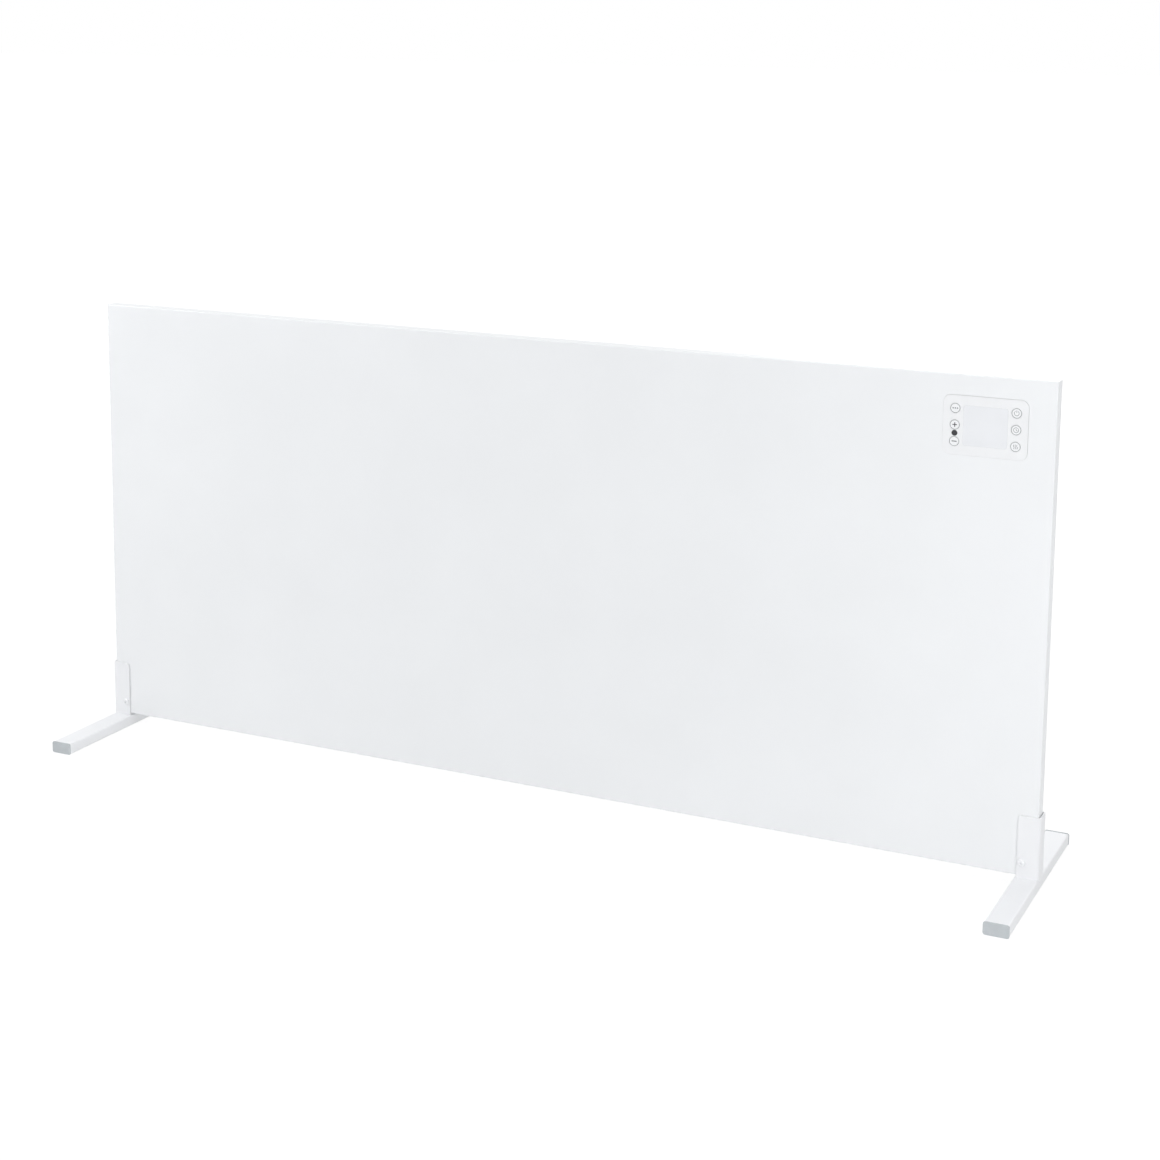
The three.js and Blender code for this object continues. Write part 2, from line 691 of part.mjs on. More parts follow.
// A flat cable that leaves the control board backwards, runs down and turns in to the power board.
function controlRibbon() {
  const startZ = controlsZ - fasciaHeight / 2 + housing.ledge + ribbon.inset;
  const endZ = boardMiddleZ + powerBoard.height / 2 - powerBoard.margin - ribbonSocket.height / 2;
  const startY = boardBack + seatGap;
  const endY = powerBoardBack + ribbonSocket.depth + seatGap;
  const outer = Math.max(startY, endY) + ribbon.rise;
  const inner = outer - ribbon.thickness;
  const leg = ribbon.thickness;
  const outline = polygon([
    [startZ + leg, startY], [startZ + leg, outer], [endZ, outer], [endZ, endY],
    [endZ + leg, endY], [endZ + leg, inner], [startZ, inner], [startZ, startY],
  ]);
  return beam(outline, ribbon.width);
}

piece(caseGroup, "electronics_tray", whitePlastic, electronicsTub());
piece(caseGroup, "power_board", boardGreen, powerBoardWithParts(), [boardMiddleX, 0, boardMiddleZ]);
// The relay stands midway between the lead terminal and the transformer.
const relayX = boardMiddleX + (leadTerminal.width - transformer.width) / 2;
const relayZ = boardMiddleZ - powerBoard.height / 4;
piece(caseGroup, "power_relay", relayBlue, relayBox(), [relayX, 0, relayZ]);
const trayFloorSeat = trayFloor + seatGap;
const tiltSwitchX = boardLeft + tiltSwitch.width / 2;
piece(caseGroup, "terminal_block", whitePlastic, terminalStrip(), [bayMiddle, trayFloorSeat, glandZ]);
piece(caseGroup, "tilt_switch", blackPlastic, tiltSwitchBox(), [tiltSwitchX, trayFloorSeat, glandZ]);
piece(caseGroup, "room_sensor", blackPlastic, sensorBead(), [bayMiddle, trayFloorSeat, ventBottom]);

// Mains switch

function rockerFrameSize() {
  const cavityWidth = rocker.width + 2 * fitGap;
  const cavityHeight = 2 * (rocker.endRadius + fitGap);
  return {
    cavityWidth,
    cavityHeight,
    bodyWidth: cavityWidth + 2 * rockerFrame.wall,
    bodyHeight: cavityHeight + 2 * rockerFrame.wall,
  };
}

const rockerTilt = THREE.MathUtils.degToRad(rocker.tiltDegrees);
const rimBack = seatGap + rockerFrame.rimHeight;
const pivotY = rimBack - rockerFrame.pivotDepth;

// The frame from the cover's rear face at zero, with a socket for the rocker's trunnion in each side.
function switchFrame() {
  const { cavityWidth, cavityHeight, bodyWidth, bodyHeight } = switchSize;
  const cavityFloor = pivotY - rocker.skirt - rocker.endRadius * Math.sin(rockerTilt) - fitGap;
  const bodyFront = cavityFloor - rockerFrame.floor;
  const [rimWidth, rimHeight] = [bodyWidth + 2 * rockerFrame.rim, bodyHeight + 2 * rockerFrame.rim];
  const rim = slab(roundedRectangle(rimWidth, rimHeight, rockerFrame.rim), seatGap, rimBack);
  const shell = slab(rectangle(bodyWidth, bodyHeight), bodyFront, rimBack);
  const cavity = slab(rectangle(cavityWidth, cavityHeight), cavityFloor, rimBack + overrun);
  const socketRadius = rocker.trunnionRadius + fitGap;
  const socket = new THREE.CylinderGeometry(socketRadius, socketRadius, bodyWidth + 2 * overrun, smallSides);
  const blades = [-rockerFrame.bladeSpacing / 2, rockerFrame.bladeSpacing / 2].map((z) =>
    block(
      [-rockerFrame.bladeWidth / 2, bodyFront - rockerFrame.bladeLength, z - rockerFrame.bladeThickness / 2],
      [rockerFrame.bladeWidth / 2, bodyFront + rockerFrame.floor / 2, z + rockerFrame.bladeThickness / 2]
    )
  );
  const hole = solid(socket.rotateZ(Math.PI / 2).translate(0, pivotY, 0));
  return join(cut(join(rim, shell), cavity, hole), ...blades);
}

// The rocker about its pivot. Its ends are arcs about the pivot, so they clear the frame as it tips,
// and each half of its face lies level with the frame's rim when that half is pressed.
function rockerPaddle() {
  const slope = Math.tan(rockerTilt);
  const dip = rockerFrame.pivotDepth / Math.cos(rockerTilt);
  const steep = 1 + slope * slope;
  const root = Math.sqrt((dip * slope) ** 2 - steep * (dip ** 2 - rocker.endRadius ** 2));
  const endZ = (root - dip * slope) / steep;
  const topAngle = Math.atan2(dip + slope * endZ, endZ);
  const lowAngle = -Math.asin(rocker.skirt / rocker.endRadius);
  const outline = new THREE.Shape();
  outline.moveTo(0, dip);
  outline.absarc(0, 0, rocker.endRadius, Math.PI - topAngle, Math.PI - lowAngle);
  outline.absarc(0, 0, rocker.endRadius, lowAngle, topAngle);
  outline.closePath();
  const paddle = beam(outline, rocker.width);
  const reach = rocker.width / 2 + rocker.trunnionLength;
  const { trunnionRadius } = rocker;
  const trunnion = new THREE.CylinderGeometry(trunnionRadius, trunnionRadius, 2 * reach, smallSides);
  return join(solid(paddle), solid(trunnion.rotateZ(Math.PI / 2)));
}

const mainsSwitch = new THREE.Group();
mainsSwitch.position.set(rockerX, back, rockerZ);
caseGroup.add(mainsSwitch);
piece(mainsSwitch, "rocker_frame", blackPlastic, switchFrame());
const paddleMesh = piece(mainsSwitch, "rocker", blackPlastic, rockerPaddle(), [0, pivotY, 0]);
paddleMesh.rotation.x = rockerTilt;

// Cable gland

function glandBody() {
  const stemFront = -cover.sheet - seatGap - gland.nutHeight - gland.stemRoom;
  const hexBack = seatGap + gland.hexHeight;
  const domeBack = hexBack + gland.domeHeight;
  const shoulderBack = domeBack + gland.shoulderHeight;
  const mouthBack = shoulderBack + gland.mouthHeight;
  const ring = solid(turnedRing([
    [gland.bore, stemFront],
    [gland.stemRadius, stemFront],
    [gland.stemRadius, hexBack - gland.hexHeight / 2],
    [gland.domeRadius, hexBack - gland.hexHeight / 2],
    [gland.domeRadius, domeBack],
    [gland.shoulderRadius, shoulderBack],
    [gland.mouthRadius, mouthBack],
    [gland.bore, mouthBack],
  ]));
  const hex = cut(
    rod(gland.hexRadius, seatGap, hexBack, 0, 0, hexSides),
    rod((gland.bore + gland.stemRadius) / 2, seatGap - overrun, hexBack + overrun)
  );
  return join(ring, hex);
}

function glandNut() {
  const nutBack = -cover.sheet - seatGap;
  return cut(
    rod(gland.hexRadius, nutBack - gland.nutHeight, nutBack, 0, 0, hexSides),
    rod(gland.stemRadius + fitGap, nutBack - gland.nutHeight - overrun, nutBack + overrun)
  );
}

piece(caseGroup, "cable_gland", blackPlastic, glandBody(), [glandX, back, glandZ]);
piece(caseGroup, "gland_nut", blackPlastic, glandNut(), [glandX, back, glandZ]);

// Control panel

const panelControls = new THREE.Group();
panelControls.position.set(controlsX, 0, controlsZ);
caseGroup.add(panelControls);

// The outlines of the fascia and of the display window, grown all round
function grownFascia(growth, x = 0, z = 0) {
  const [width, height] = [fasciaWidth + 2 * growth, fasciaHeight + 2 * growth];
  return roundedRectangle(width, height, fascia.corner + growth, x, z);
}

function grownWindow(growth) {
  const [width, height] = [windowWidth + 2 * growth, windowHeight + 2 * growth];
  return roundedRectangle(width, height, displayWindow.corner + growth);
}

function fasciaPlate() {
  const plate = slab(grownFascia(0), fasciaFront, fasciaBack);
  const through = [fasciaFront - overrun, fasciaBack + overrun];
  const keyHoles = keyColumns.flatMap((x) => keyRows.map((z) => rod(keyHole, ...through, x, z)));
  const windowHole = slab(grownWindow(displayWindow.gap), ...through);
  const lensHole = rod(irHole, ...through, ...irPlace);
  return cut(plate, ...keyHoles, windowHole, lensHole);
}

// A key cap from the fascia's face, with the flange that keeps it in and the stem that works its switch.
function keyCap() {
  return turned([
    [0, fasciaFront],
    [key.radius, fasciaFront],
    [key.radius, fasciaBack + seatGap],
    [keyFlange, fasciaBack + seatGap],
    [keyFlange, keyFlangeBack],
    [key.stemRadius, keyFlangeBack],
    [key.stemRadius, keyStemBack],
    [0, keyStemBack],
  ]);
}

function windowPane() {
  const rimFront = fasciaBack + seatGap;
  const paneBack = rimFront + displayWindow.rimHeight;
  const rim = slab(grownWindow(displayWindow.rim), rimFront, paneBack);
  return join(slab(grownWindow(0), fasciaFront, paneBack), rim);
}

function irLens() {
  const rimFront = fasciaBack + seatGap;
  const lensRadius = irHole - irWindow.gap;
  const rimRadius = lensRadius + irWindow.rim;
  const lens = turned([
    [0, fasciaFront],
    [lensRadius, fasciaFront],
    [lensRadius, rimFront],
    [rimRadius, rimFront],
    [rimRadius, rimFront + irWindow.rimHeight],
    [0, rimFront + irWindow.rimHeight],
  ]);
  // The flanges of the keys above and below take a bite out of the lens's rim.
  const bites = [key.rowPitch / 2, -key.rowPitch / 2].map((z) =>
    rod(keyFlange + fitGap, fasciaBack, rimFront + irWindow.rimHeight + overrun, 0, z)
  );
  return cut(solid(lens), ...bites);
}

function controlHousing() {
  const housingFront = insideFront + seatGap;
  const housingBack = boardBack + housing.skirt;
  const outside = slab(rectangle(2 * housingSize.x, 2 * housingSize.z), housingFront, housingBack);
  const recess = slab(grownFascia(fitGap), housingFront - overrun, fasciaBack + seatGap);
  const [x, z] = [fasciaWidth / 2 - housing.ledge, fasciaHeight / 2 - housing.ledge];
  const hollowOutline = roundedRectangle(2 * x, 2 * z, fascia.corner - housing.ledge);
  const hollow = slab(hollowOutline, housingFront, housingBack + overrun);
  const pocket = block(
    [-x - housing.pocket, boardFront - seatGap, -z - housing.pocket],
    [x + housing.pocket, housingBack + overrun, z + housing.pocket]
  );
  return cut(outside, recess, hollow, pocket);
}

// The board with the six key switches on it
function controlBoard() {
  const x = fasciaWidth / 2 - housing.ledge + housing.pocket - fitGap;
  const z = fasciaHeight / 2 - housing.ledge + housing.pocket - fitGap;
  const sheet = block([-x, boardFront, -z], [x, boardBack, z]);
  const reach = board.switchWidth / 2;
  const [low, high] = [boardFront - board.switchHeight, boardFront + board.thickness / 2];
  const switches = keyColumns.flatMap((dx) => keyRows.map((dz) =>
    block([dx - reach, low, dz - reach], [dx + reach, high, dz + reach])
  ));
  return join(sheet, ...switches);
}

// A block that stands on the front of the control board and reaches forwards to y0.
function boardBlock(width, height, y0) {
  const depth = boardFront - seatGap - y0;
  const geometry = new THREE.BoxGeometry(width, depth, height);
  return geometry.translate(0, y0 + depth / 2, 0);
}

function displayBlock() {
  const paneBack = fasciaBack + seatGap + displayWindow.rimHeight;
  return boardBlock(windowWidth - 2 * display.inset, display.height, paneBack + seatGap);
}

// The receiver stays clear of the flanges of the keys above and below it when they are pressed.
function receiverBlock() {
  const lensBack = fasciaBack + seatGap + irWindow.rimHeight;
  const reach = key.rowPitch / 2 - keyFlange - fitGap;
  return boardBlock(receiver.width, 2 * reach, lensBack + seatGap);
}

piece(panelControls, "control_fascia", whitePlastic, fasciaPlate());
const keyNames = [["key_menu", "key_plus", "key_minus"], ["key_power", "key_timer", "key_heat"]];
keyNames.forEach((names, column) => names.forEach((name, row) => {
  piece(panelControls, name, whitePlastic, keyCap(), [keyColumns[column], 0, keyRows[row]]);
}));
piece(panelControls, "display_window", palePrint, windowPane());
piece(panelControls, "ir_window", darkLens, irLens(), [irPlace[0], 0, irPlace[1]]);
piece(panelControls, "control_housing", whitePlastic, controlHousing());
piece(panelControls, "control_board", boardGreen, controlBoard());
piece(panelControls, "display_module", blackPlastic, displayBlock());
piece(panelControls, "ir_receiver", blackPlastic, receiverBlock(), [irPlace[0], 0, irPlace[1]]);
piece(caseGroup, "control_ribbon", palePrint, controlRibbon(), [boardMiddleX, 0, 0]);

// Feet

function footTube() {
  const outline = roundedRectangle(tube.width, tube.height, tube.corner);
  const [boreWidth, boreHeight] = [tube.width - 2 * tube.wall, tube.height - 2 * tube.wall];
  outline.holes.push(roundedRectangle(boreWidth, boreHeight, tube.corner - tube.wall));
  return slab(outline, -tube.length / 2, tube.length / 2);
}

// An end cap for the front end of a tube, about the middle of the tube's section.
function endCap() {
  const seat = -tube.length / 2 - seatGap;
  const headOutline = roundedRectangle(tube.width + 2 * cap.proud, tube.height + 2 * cap.proud, cap.corner);
  const head = slab(headOutline, seat - cap.head, seat);
  const play = 2 * (tube.wall + fitGap);
  const [width, height] = [tube.width - play, tube.height - play];
  const plug = rectangle(width, height);
  plug.holes.push(rectangle(width - 2 * cap.plugWall, height - 2 * cap.plugWall));
  return join(head, slab(plug, seat - cap.head / 2, seat + cap.plugLength));
}

// A folded bracket that wraps the panel's lower corner. Side is 1 on the right and -1 on the left.
function cornerBracket(side) {
  const depth = back + bracket.faceClearance;
  const outer = tube.width / 2;
  const top = bracket.height;
  const [free, radius] = [(outer - bracket.width) * side, bracket.corner];
  const outline = new THREE.Shape();
  outline.moveTo(outer * side, 0);
  outline.lineTo(outer * side, top);
  outline.lineTo(free + radius * side, top);
  if (side > 0) outline.absarc(free + radius, top - radius, radius, Math.PI / 2, Math.PI, false);
  else outline.absarc(free - radius, top - radius, radius, Math.PI / 2, 0, true);
  outline.lineTo(free, 0);
  outline.closePath();
  const blank = slab(outline, -depth - bracket.sheet, depth + bracket.sheet);
  const [outerDepth, outerBend] = [depth + bracket.sheet, bracket.innerBend + bracket.sheet];
  const outside = roundedRectangle(2 * bracket.width, 2 * outerDepth, outerBend, free);
  const folded = blank.intersect(post(outside, 0, top));
  const inside = roundedRectangle(2 * (bracket.width - bracket.sheet), 2 * depth, bracket.innerBend, free);
  const pocket = post(inside, bracket.sheet, top + overrun);
  const hole = rod(
    boltHole, -depth - bracket.sheet - overrun, depth + bracket.sheet + overrun,
    (boltX - footX) * side, panelBottom - tubeTop + boltZ + half.z, smallSides
  );
  return cut(folded, pocket, hole);
}

// A button-head bolt through bracket and panel, with its head at the front.
function throughBolt() {
  const seat = -flangeFace - seatGap;
  const crown = seat - bolt.headHeight;
  const tip = flangeFace + seatGap + nut.height + bolt.pastNut;
  const shape = solid(turned([
    [0, crown],
    ...boltCrownShares.map(([radius, height]) => [bolt.headRadius * radius, seat - bolt.headHeight * height]),
    [bolt.headRadius, seat],
    [bolt.radius, seat],
    [bolt.radius, tip],
    [0, tip],
  ]));
  return cut(shape, rod(bolt.socketRadius, crown - overrun, crown + bolt.socketDepth, 0, 0, hexSides));
}

function hexNut() {
  const seat = flangeFace + seatGap;
  return cut(
    rod(nut.radius, seat, seat + nut.height, 0, 0, hexSides),
    rod(boltHole, seat - overrun, seat + nut.height + overrun, 0, 0, smallSides)
  );
}

for (const [sideName, side] of [["left", -1], ["right", 1]]) {
  const foot = new THREE.Group();
  foot.position.set(side * footX, 0, 0);
  heater.add(foot);
  const middle = tubeBottom + tube.height / 2;
  piece(foot, `foot_tube_${sideName}`, whitePaint, footTube(), [0, 0, middle]);
  piece(foot, `foot_cap_${sideName}_front`, greyPlastic, endCap(), [0, 0, middle]);
  const rearCap = piece(foot, `foot_cap_${sideName}_rear`, greyPlastic, endCap(), [0, 0, middle]);
  rearCap.rotation.z = Math.PI;
  piece(foot, `bracket_${sideName}`, whitePaint, cornerBracket(side), [0, 0, tubeTop]);
  piece(caseGroup, `bracket_bolt_${sideName}`, whitePaint, throughBolt(), [side * boltX, 0, boltZ]);
  piece(caseGroup, `bracket_nut_${sideName}`, zincSteel, hexNut(), [side * boltX, 0, boltZ]);
}

export default heater;
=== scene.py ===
"""Free-standing infrared heating panel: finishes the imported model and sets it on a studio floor."""

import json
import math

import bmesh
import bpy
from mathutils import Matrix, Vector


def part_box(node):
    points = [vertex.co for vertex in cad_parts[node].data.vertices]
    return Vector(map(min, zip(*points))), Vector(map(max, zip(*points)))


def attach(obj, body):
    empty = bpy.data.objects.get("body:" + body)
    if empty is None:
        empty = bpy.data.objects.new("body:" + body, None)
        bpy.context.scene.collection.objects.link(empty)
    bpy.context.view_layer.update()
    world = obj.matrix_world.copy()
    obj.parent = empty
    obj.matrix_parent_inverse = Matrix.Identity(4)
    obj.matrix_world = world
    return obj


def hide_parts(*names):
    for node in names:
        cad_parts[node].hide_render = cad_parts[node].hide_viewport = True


bl_info = {
    "name": "Infrared heating panel",
    "version": (1, 0, 0),
    "blender": (4, 5, 0),
    "location": "3D View > Sidebar > Panel heater",
    "description": "Finishes a free-standing infrared heating panel and sets it on a studio floor",
    "category": "Object",
}

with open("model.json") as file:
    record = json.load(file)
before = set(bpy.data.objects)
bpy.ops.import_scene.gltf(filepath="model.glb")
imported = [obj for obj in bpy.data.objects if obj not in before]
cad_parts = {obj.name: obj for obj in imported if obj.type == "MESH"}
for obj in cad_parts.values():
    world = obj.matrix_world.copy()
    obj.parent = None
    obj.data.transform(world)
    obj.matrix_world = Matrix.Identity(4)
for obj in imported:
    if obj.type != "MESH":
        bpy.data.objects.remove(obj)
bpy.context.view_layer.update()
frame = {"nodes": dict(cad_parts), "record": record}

MM = 0.001
NODES = frame["nodes"]
BODY_OF = {node: body for body, held in frame["record"]["behaviour"]["bodies"].items() for node in held}
RECORD_COLOURS = {made["slot"]: made["base_color"] for made in frame["record"]["materials"]}
SIDE_NAMES = ("left", "right")
KEY_NAMES = ("menu", "plus", "minus", "power", "timer", "heat")

# An edge is sharp where its faces turn by more than this
SHARP_ANGLE = math.radians(35)

# Each circle, hexagon and cross has this many points, so that any two of them can be joined
ROUND_POINTS = 72


# Sizes and colours that a user would change


def colour_property(name, description, default):
    """A colour picker."""
    return bpy.props.FloatVectorProperty(
        name=name, description=description, default=default, subtype="COLOR", min=0, max=1
    )


def length_property(name, description, default, smallest=0.0):
    """A length in metres."""
    return bpy.props.FloatProperty(
        name=name, description=description, default=default, min=smallest, unit="LENGTH", precision=6
    )


def angle_property(name, description, degrees):
    """An angle, with its default in degrees."""
    return bpy.props.FloatProperty(
        name=name, description=description, default=math.radians(degrees), subtype="ANGLE"
    )


def number_property(name, description, default, smallest=0.0):
    """A number, in the unit that its description gives."""
    return bpy.props.FloatProperty(name=name, description=description, default=default, min=smallest)


class HeaterPaint(bpy.types.PropertyGroup):
    """Colours and texture of the painted steel."""

    case: colour_property("Case", "Coat of the panel's case", RECORD_COLOURS["case_paint"])
    foot: colour_property("Feet", "Coat of the tubes, brackets and bolts", RECORD_COLOURS["foot_paint"])
    peel_size: length_property("Peel size", "Width of the coat's orange peel", 1.8 * MM, 0.1 * MM)
    peel_depth: length_property("Peel depth", "Height of the coat's orange peel", 0.012 * MM)
    roughness: bpy.props.FloatProperty(
        name="Roughness", description="Roughness of the satin coat", default=0.42, min=0, max=1
    )


class HeaterEdges(bpy.types.PropertyGroup):
    """Rounding of the edges."""

    sheet: length_property("Sheet", "Rounding of the thin sheet's edges", 0.25 * MM)
    plate: length_property("Plate", "Rounding of the brackets' edges", 0.9 * MM)
    moulding: length_property("Moulding", "Rounding of moulded edges", 0.4 * MM)
    cap: length_property("Cap", "Rounding of the end caps' edges", 0.7 * MM)
    fine: length_property("Fine", "Rounding of the smallest edges", 0.15 * MM)


class HeaterControls(bpy.types.PropertyGroup):
    """The keys, the plate round them, the display and the lens."""

    key_radius: length_property("Key radius", "Radius of a key's face", 5.85 * MM)
    key_edge: length_property("Key edge", "Rounding round a key's face", 0.15 * MM)
    key_gap: length_property("Key gap", "Gap round a key in the plate", 0.27 * MM)
    plate_corner: length_property("Plate corner", "Radius of the plate's corners", 9 * MM)
    plate_growth: length_property("Plate growth", "Growth of the plate to the left and down", 0.24 * MM)
    window_corner: length_property("Window corner", "Radius of the display's corners", 3 * MM)
    window_gap: length_property("Window gap", "Gap round the display in the plate", 0.02 * MM)
    lens_radius: length_property("Lens radius", "Radius of the receiver's lens", 3.5 * MM)
    lens_crown: length_property("Lens crown", "Height of the lens's dome", 0.25 * MM)


class HeaterPrint(bpy.types.PropertyGroup):
    """The symbols on the keys and the marks on the mains switch."""

    # The ring lies at a key's rim, where it is partly print and partly painted shade of the gap round the
    # key
    ring_radius: length_property("Ring radius", "Outer radius of the ring on a key", 5.75 * MM)
    ring_width: length_property("Ring width", "Width of the ring's line", 0.5 * MM)
    line_width: length_property("Line width", "Width of a symbol's lines", 0.6 * MM)
    bold_width: length_property("Bold width", "Width of the plus and minus signs' lines", 1.1 * MM)
    proud: length_property("Proud", "Thickness of the print over its face", 0.03 * MM)
    grey: colour_property("Grey", "Rings and thin symbols", (0.3, 0.31, 0.32))
    dark: colour_property("Dark", "Plus and minus signs", (0.1, 0.1, 0.105))
    white: colour_property("White", "Marks on the mains switch", (0.75, 0.75, 0.74))


class HeaterStudio(bpy.types.PropertyGroup):
    """The camera, the floor and the lights."""

    camera_place: bpy.props.FloatVectorProperty(
        name="Camera place",
        description="Where the camera stands",
        default=(1.1907, -2.3849, 1.0244),
        subtype="TRANSLATION",
        unit="LENGTH",
    )
    camera_turn: angle_property("Turn", "Camera's turn to the left", 25.32)
    camera_tilt: angle_property("Tilt", "Camera's tilt below level", 9.005)
    camera_roll: angle_property("Roll", "Camera's roll", 0.547)
    focal_length: number_property("Focal length", "Focal length in millimetres", 65.04, 1.0)
    sensor_width: number_property("Sensor width", "Width of the sensor in millimetres", 36.0, 1.0)
    lens_shift: number_property("Lens shift", "Vertical shift as a share of the frame", -0.198, -1.0)
    floor: colour_property("Floor", "Floor and backdrop", (0.86, 0.86, 0.86))
    sky_colour: colour_property("Sky colour", "Colour of the even light from all sides", (0.975, 0.984, 1.0))
    sky_level: number_property("Sky level", "Strength of the even light from all sides", 0.375)
    lamp_colour: colour_property("Lamp colour", "Colour of the lamps", (0.978, 0.985, 1.0))
    lamp_level: number_property("Lamp level", "Level of all the lamps", 1.0)


# Finishes


class Finish:
    """A material under construction. Its textures lie in the part's own frame, in metres."""

    def __init__(self, name, colour, roughness, **sockets):
        self.base_colour = colour
        self.base_roughness = roughness
        self.material = bpy.data.materials.new(name)
        self.material.use_nodes = True
        self.tree = self.material.node_tree
        self.shader = self.tree.nodes["Principled BSDF"]
        self.shader.inputs["Base Color"].default_value = (*colour, 1)
        self.shader.inputs["Roughness"].default_value = roughness
        for socket, value in sockets.items():
            self.shader.inputs[socket.replace("_", " ")].default_value = value
        self.place = self.node("ShaderNodeTexCoord").outputs["Object"]

    def node(self, kind, **properties):
        """A new node with its properties set."""
        made = self.tree.nodes.new(kind)
        for key, value in properties.items():
            setattr(made, key, value)
        return made

    def link(self, source, target):
        self.tree.links.new(source, target)

    def stretched(self, across, along, up):
        """The place, with each axis scaled, so that a texture on it is drawn out."""
        mapping = self.node("ShaderNodeMapping")
        mapping.inputs["Scale"].default_value = (across, along, up)
        self.link(self.place, mapping.inputs["Vector"])
        return mapping.outputs["Vector"]

    def noise(self, width, detail=2.0, rough=0.5, place=None):
        """Noise in blotches of about a width."""
        made = self.node("ShaderNodeTexNoise")
        made.inputs["Scale"].default_value = 1 / width
        made.inputs["Detail"].default_value = detail
        made.inputs["Roughness"].default_value = rough
        self.link(place or self.place, made.inputs["Vector"])
        return made.outputs["Fac"]

    def cell_walls(self, width):
        """Distance from the walls of a pattern of cells of about a width."""
        made = self.node("ShaderNodeTexVoronoi", feature="DISTANCE_TO_EDGE")
        made.inputs["Scale"].default_value = 1 / width
        self.link(self.place, made.inputs["Vector"])
        return made.outputs["Distance"]

    def bands(self, pitch, direction):
        """Bands across a direction, one in each pitch."""
        made = self.node("ShaderNodeTexWave", bands_direction=direction)
        pitch_at_scale_one = math.pi / 10
        made.inputs["Scale"].default_value = pitch_at_scale_one / pitch
        self.link(self.place, made.inputs["Vector"])
        return made.outputs["Fac"]

    def spread(self, value, low, high, start=0.3, end=0.7):
        """The value, run from low to high between start and end."""
        made = self.node("ShaderNodeMapRange")
        for socket, number in (("From Min", start), ("From Max", end), ("To Min", low), ("To Max", high)):
            made.inputs[socket].default_value = number
        self.link(value, made.inputs["Value"])
        return made.outputs["Result"]

    def vary_colour(self, share, darkest, lightest):
        """Runs the colour between two shades of itself, as a share goes from 0 to 1."""
        made = self.node("ShaderNodeMix", data_type="RGBA")
        self.link(share, made.inputs["Factor"])
        for socket, factor in (("A", darkest), ("B", lightest)):
            shade = [min(1.0, channel * factor) for channel in self.base_colour]
            made.inputs[socket].default_value = (*shade, 1)
        self.link(made.outputs["Result"], self.shader.inputs["Base Color"])

    def mottle(self, value, darkest, lightest):
        """Runs the colour between two shades of itself, along the middle of a noise or of bands."""
        self.vary_colour(self.spread(value, 0, 1), darkest, lightest)

    def vary_roughness(self, value, below, above):
        """Runs the roughness from below to above its own level, along the middle of a noise."""
        rough = self.spread(value, self.base_roughness - below, self.base_roughness + above)
        self.link(rough, self.shader.inputs["Roughness"])

    def relief(self, height, depth, strength=1.0):
        """Bumps of a depth from a value, over any bumps that are there already."""
        made = self.node("ShaderNodeBump")
        made.inputs["Strength"].default_value = strength
        made.inputs["Distance"].default_value = depth
        self.link(height, made.inputs["Height"])
        target = self.shader.inputs["Normal"]
        if target.is_linked:
            self.link(target.links[0].from_socket, made.inputs["Normal"])
        self.link(made.outputs["Normal"], target)


def powder_coat(name, colour, paint):
    """Satin powder coat: orange peel, uneven gloss and the faintest clouds of tone."""
    coat = Finish(name, colour, paint.roughness, IOR=1.5)
    coat.mottle(coat.noise(width=160 * MM, detail=3), darkest=0.985, lightest=1.008)
    coat.vary_roughness(coat.noise(width=0.5 * MM, detail=1), below=0.04, above=0.05)
    coat.relief(coat.noise(paint.peel_size, detail=2, rough=0.45), paint.peel_depth)
    return coat.material


def plated_steel(name, colour, roughness):
    """Plated steel with fine turning marks and stains."""
    plate = Finish(name, colour, roughness, Metallic=1.0)
    plate.mottle(plate.noise(width=6 * MM, detail=4), darkest=0.86, lightest=1.05)
    marks = plate.noise(width=0.25 * MM, detail=3, place=plate.stretched(1, 0.15, 1))
    plate.vary_roughness(marks, below=0.08, above=0.12)
    plate.relief(marks, depth=0.01 * MM, strength=0.5)
    return plate.material


def moulded_plastic(name, colour, roughness):
    """Matt moulded plastic with a fine eroded grain."""
    plastic = Finish(name, colour, roughness, IOR=1.49)
    plastic.mottle(plastic.noise(width=9 * MM, detail=2), darkest=0.96, lightest=1.03)
    pits = plastic.noise(width=0.35 * MM, detail=2, rough=0.6)
    plastic.vary_roughness(pits, below=0.05, above=0.07)
    plastic.relief(pits, depth=0.015 * MM, strength=0.6)
    return plastic.material


def smooth_plastic(name, colour, roughness):
    """Glossy moulded plastic with the slight waves that a mould leaves."""
    plastic = Finish(name, colour, roughness, IOR=1.5)
    plastic.mottle(plastic.noise(width=22 * MM, detail=2), darkest=0.99, lightest=1.006)
    plastic.vary_roughness(plastic.noise(width=1.1 * MM, detail=3), below=0.03, above=0.05)
    plastic.relief(plastic.noise(width=4 * MM, detail=1), depth=0.006 * MM, strength=0.5)
    return plastic.material


def lens_plastic(name, colour, roughness):
    """Smooth dark plastic that lets infrared through."""
    lens = Finish(name, colour, roughness, IOR=1.57)
    lens.mottle(lens.noise(width=1.5 * MM, detail=2), darkest=0.8, lightest=1.3)
    lens.relief(lens.noise(width=0.8 * MM, detail=1), depth=0.004 * MM, strength=0.4)
    return lens.material


def resistive_film(name, colour, roughness):
    """Dark printed heating strips between clear sheets."""
    film = Finish(name, colour, roughness)
    strips = film.bands(pitch=14 * MM, direction="Z")
    film.vary_colour(film.spread(strips, 0, 1, start=0.45, end=0.55), darkest=0.6, lightest=2.4)
    film.vary_roughness(film.noise(width=3 * MM), below=0.1, above=0.1)
    film.relief(strips, depth=0.05 * MM, strength=0.4)
    return film.material


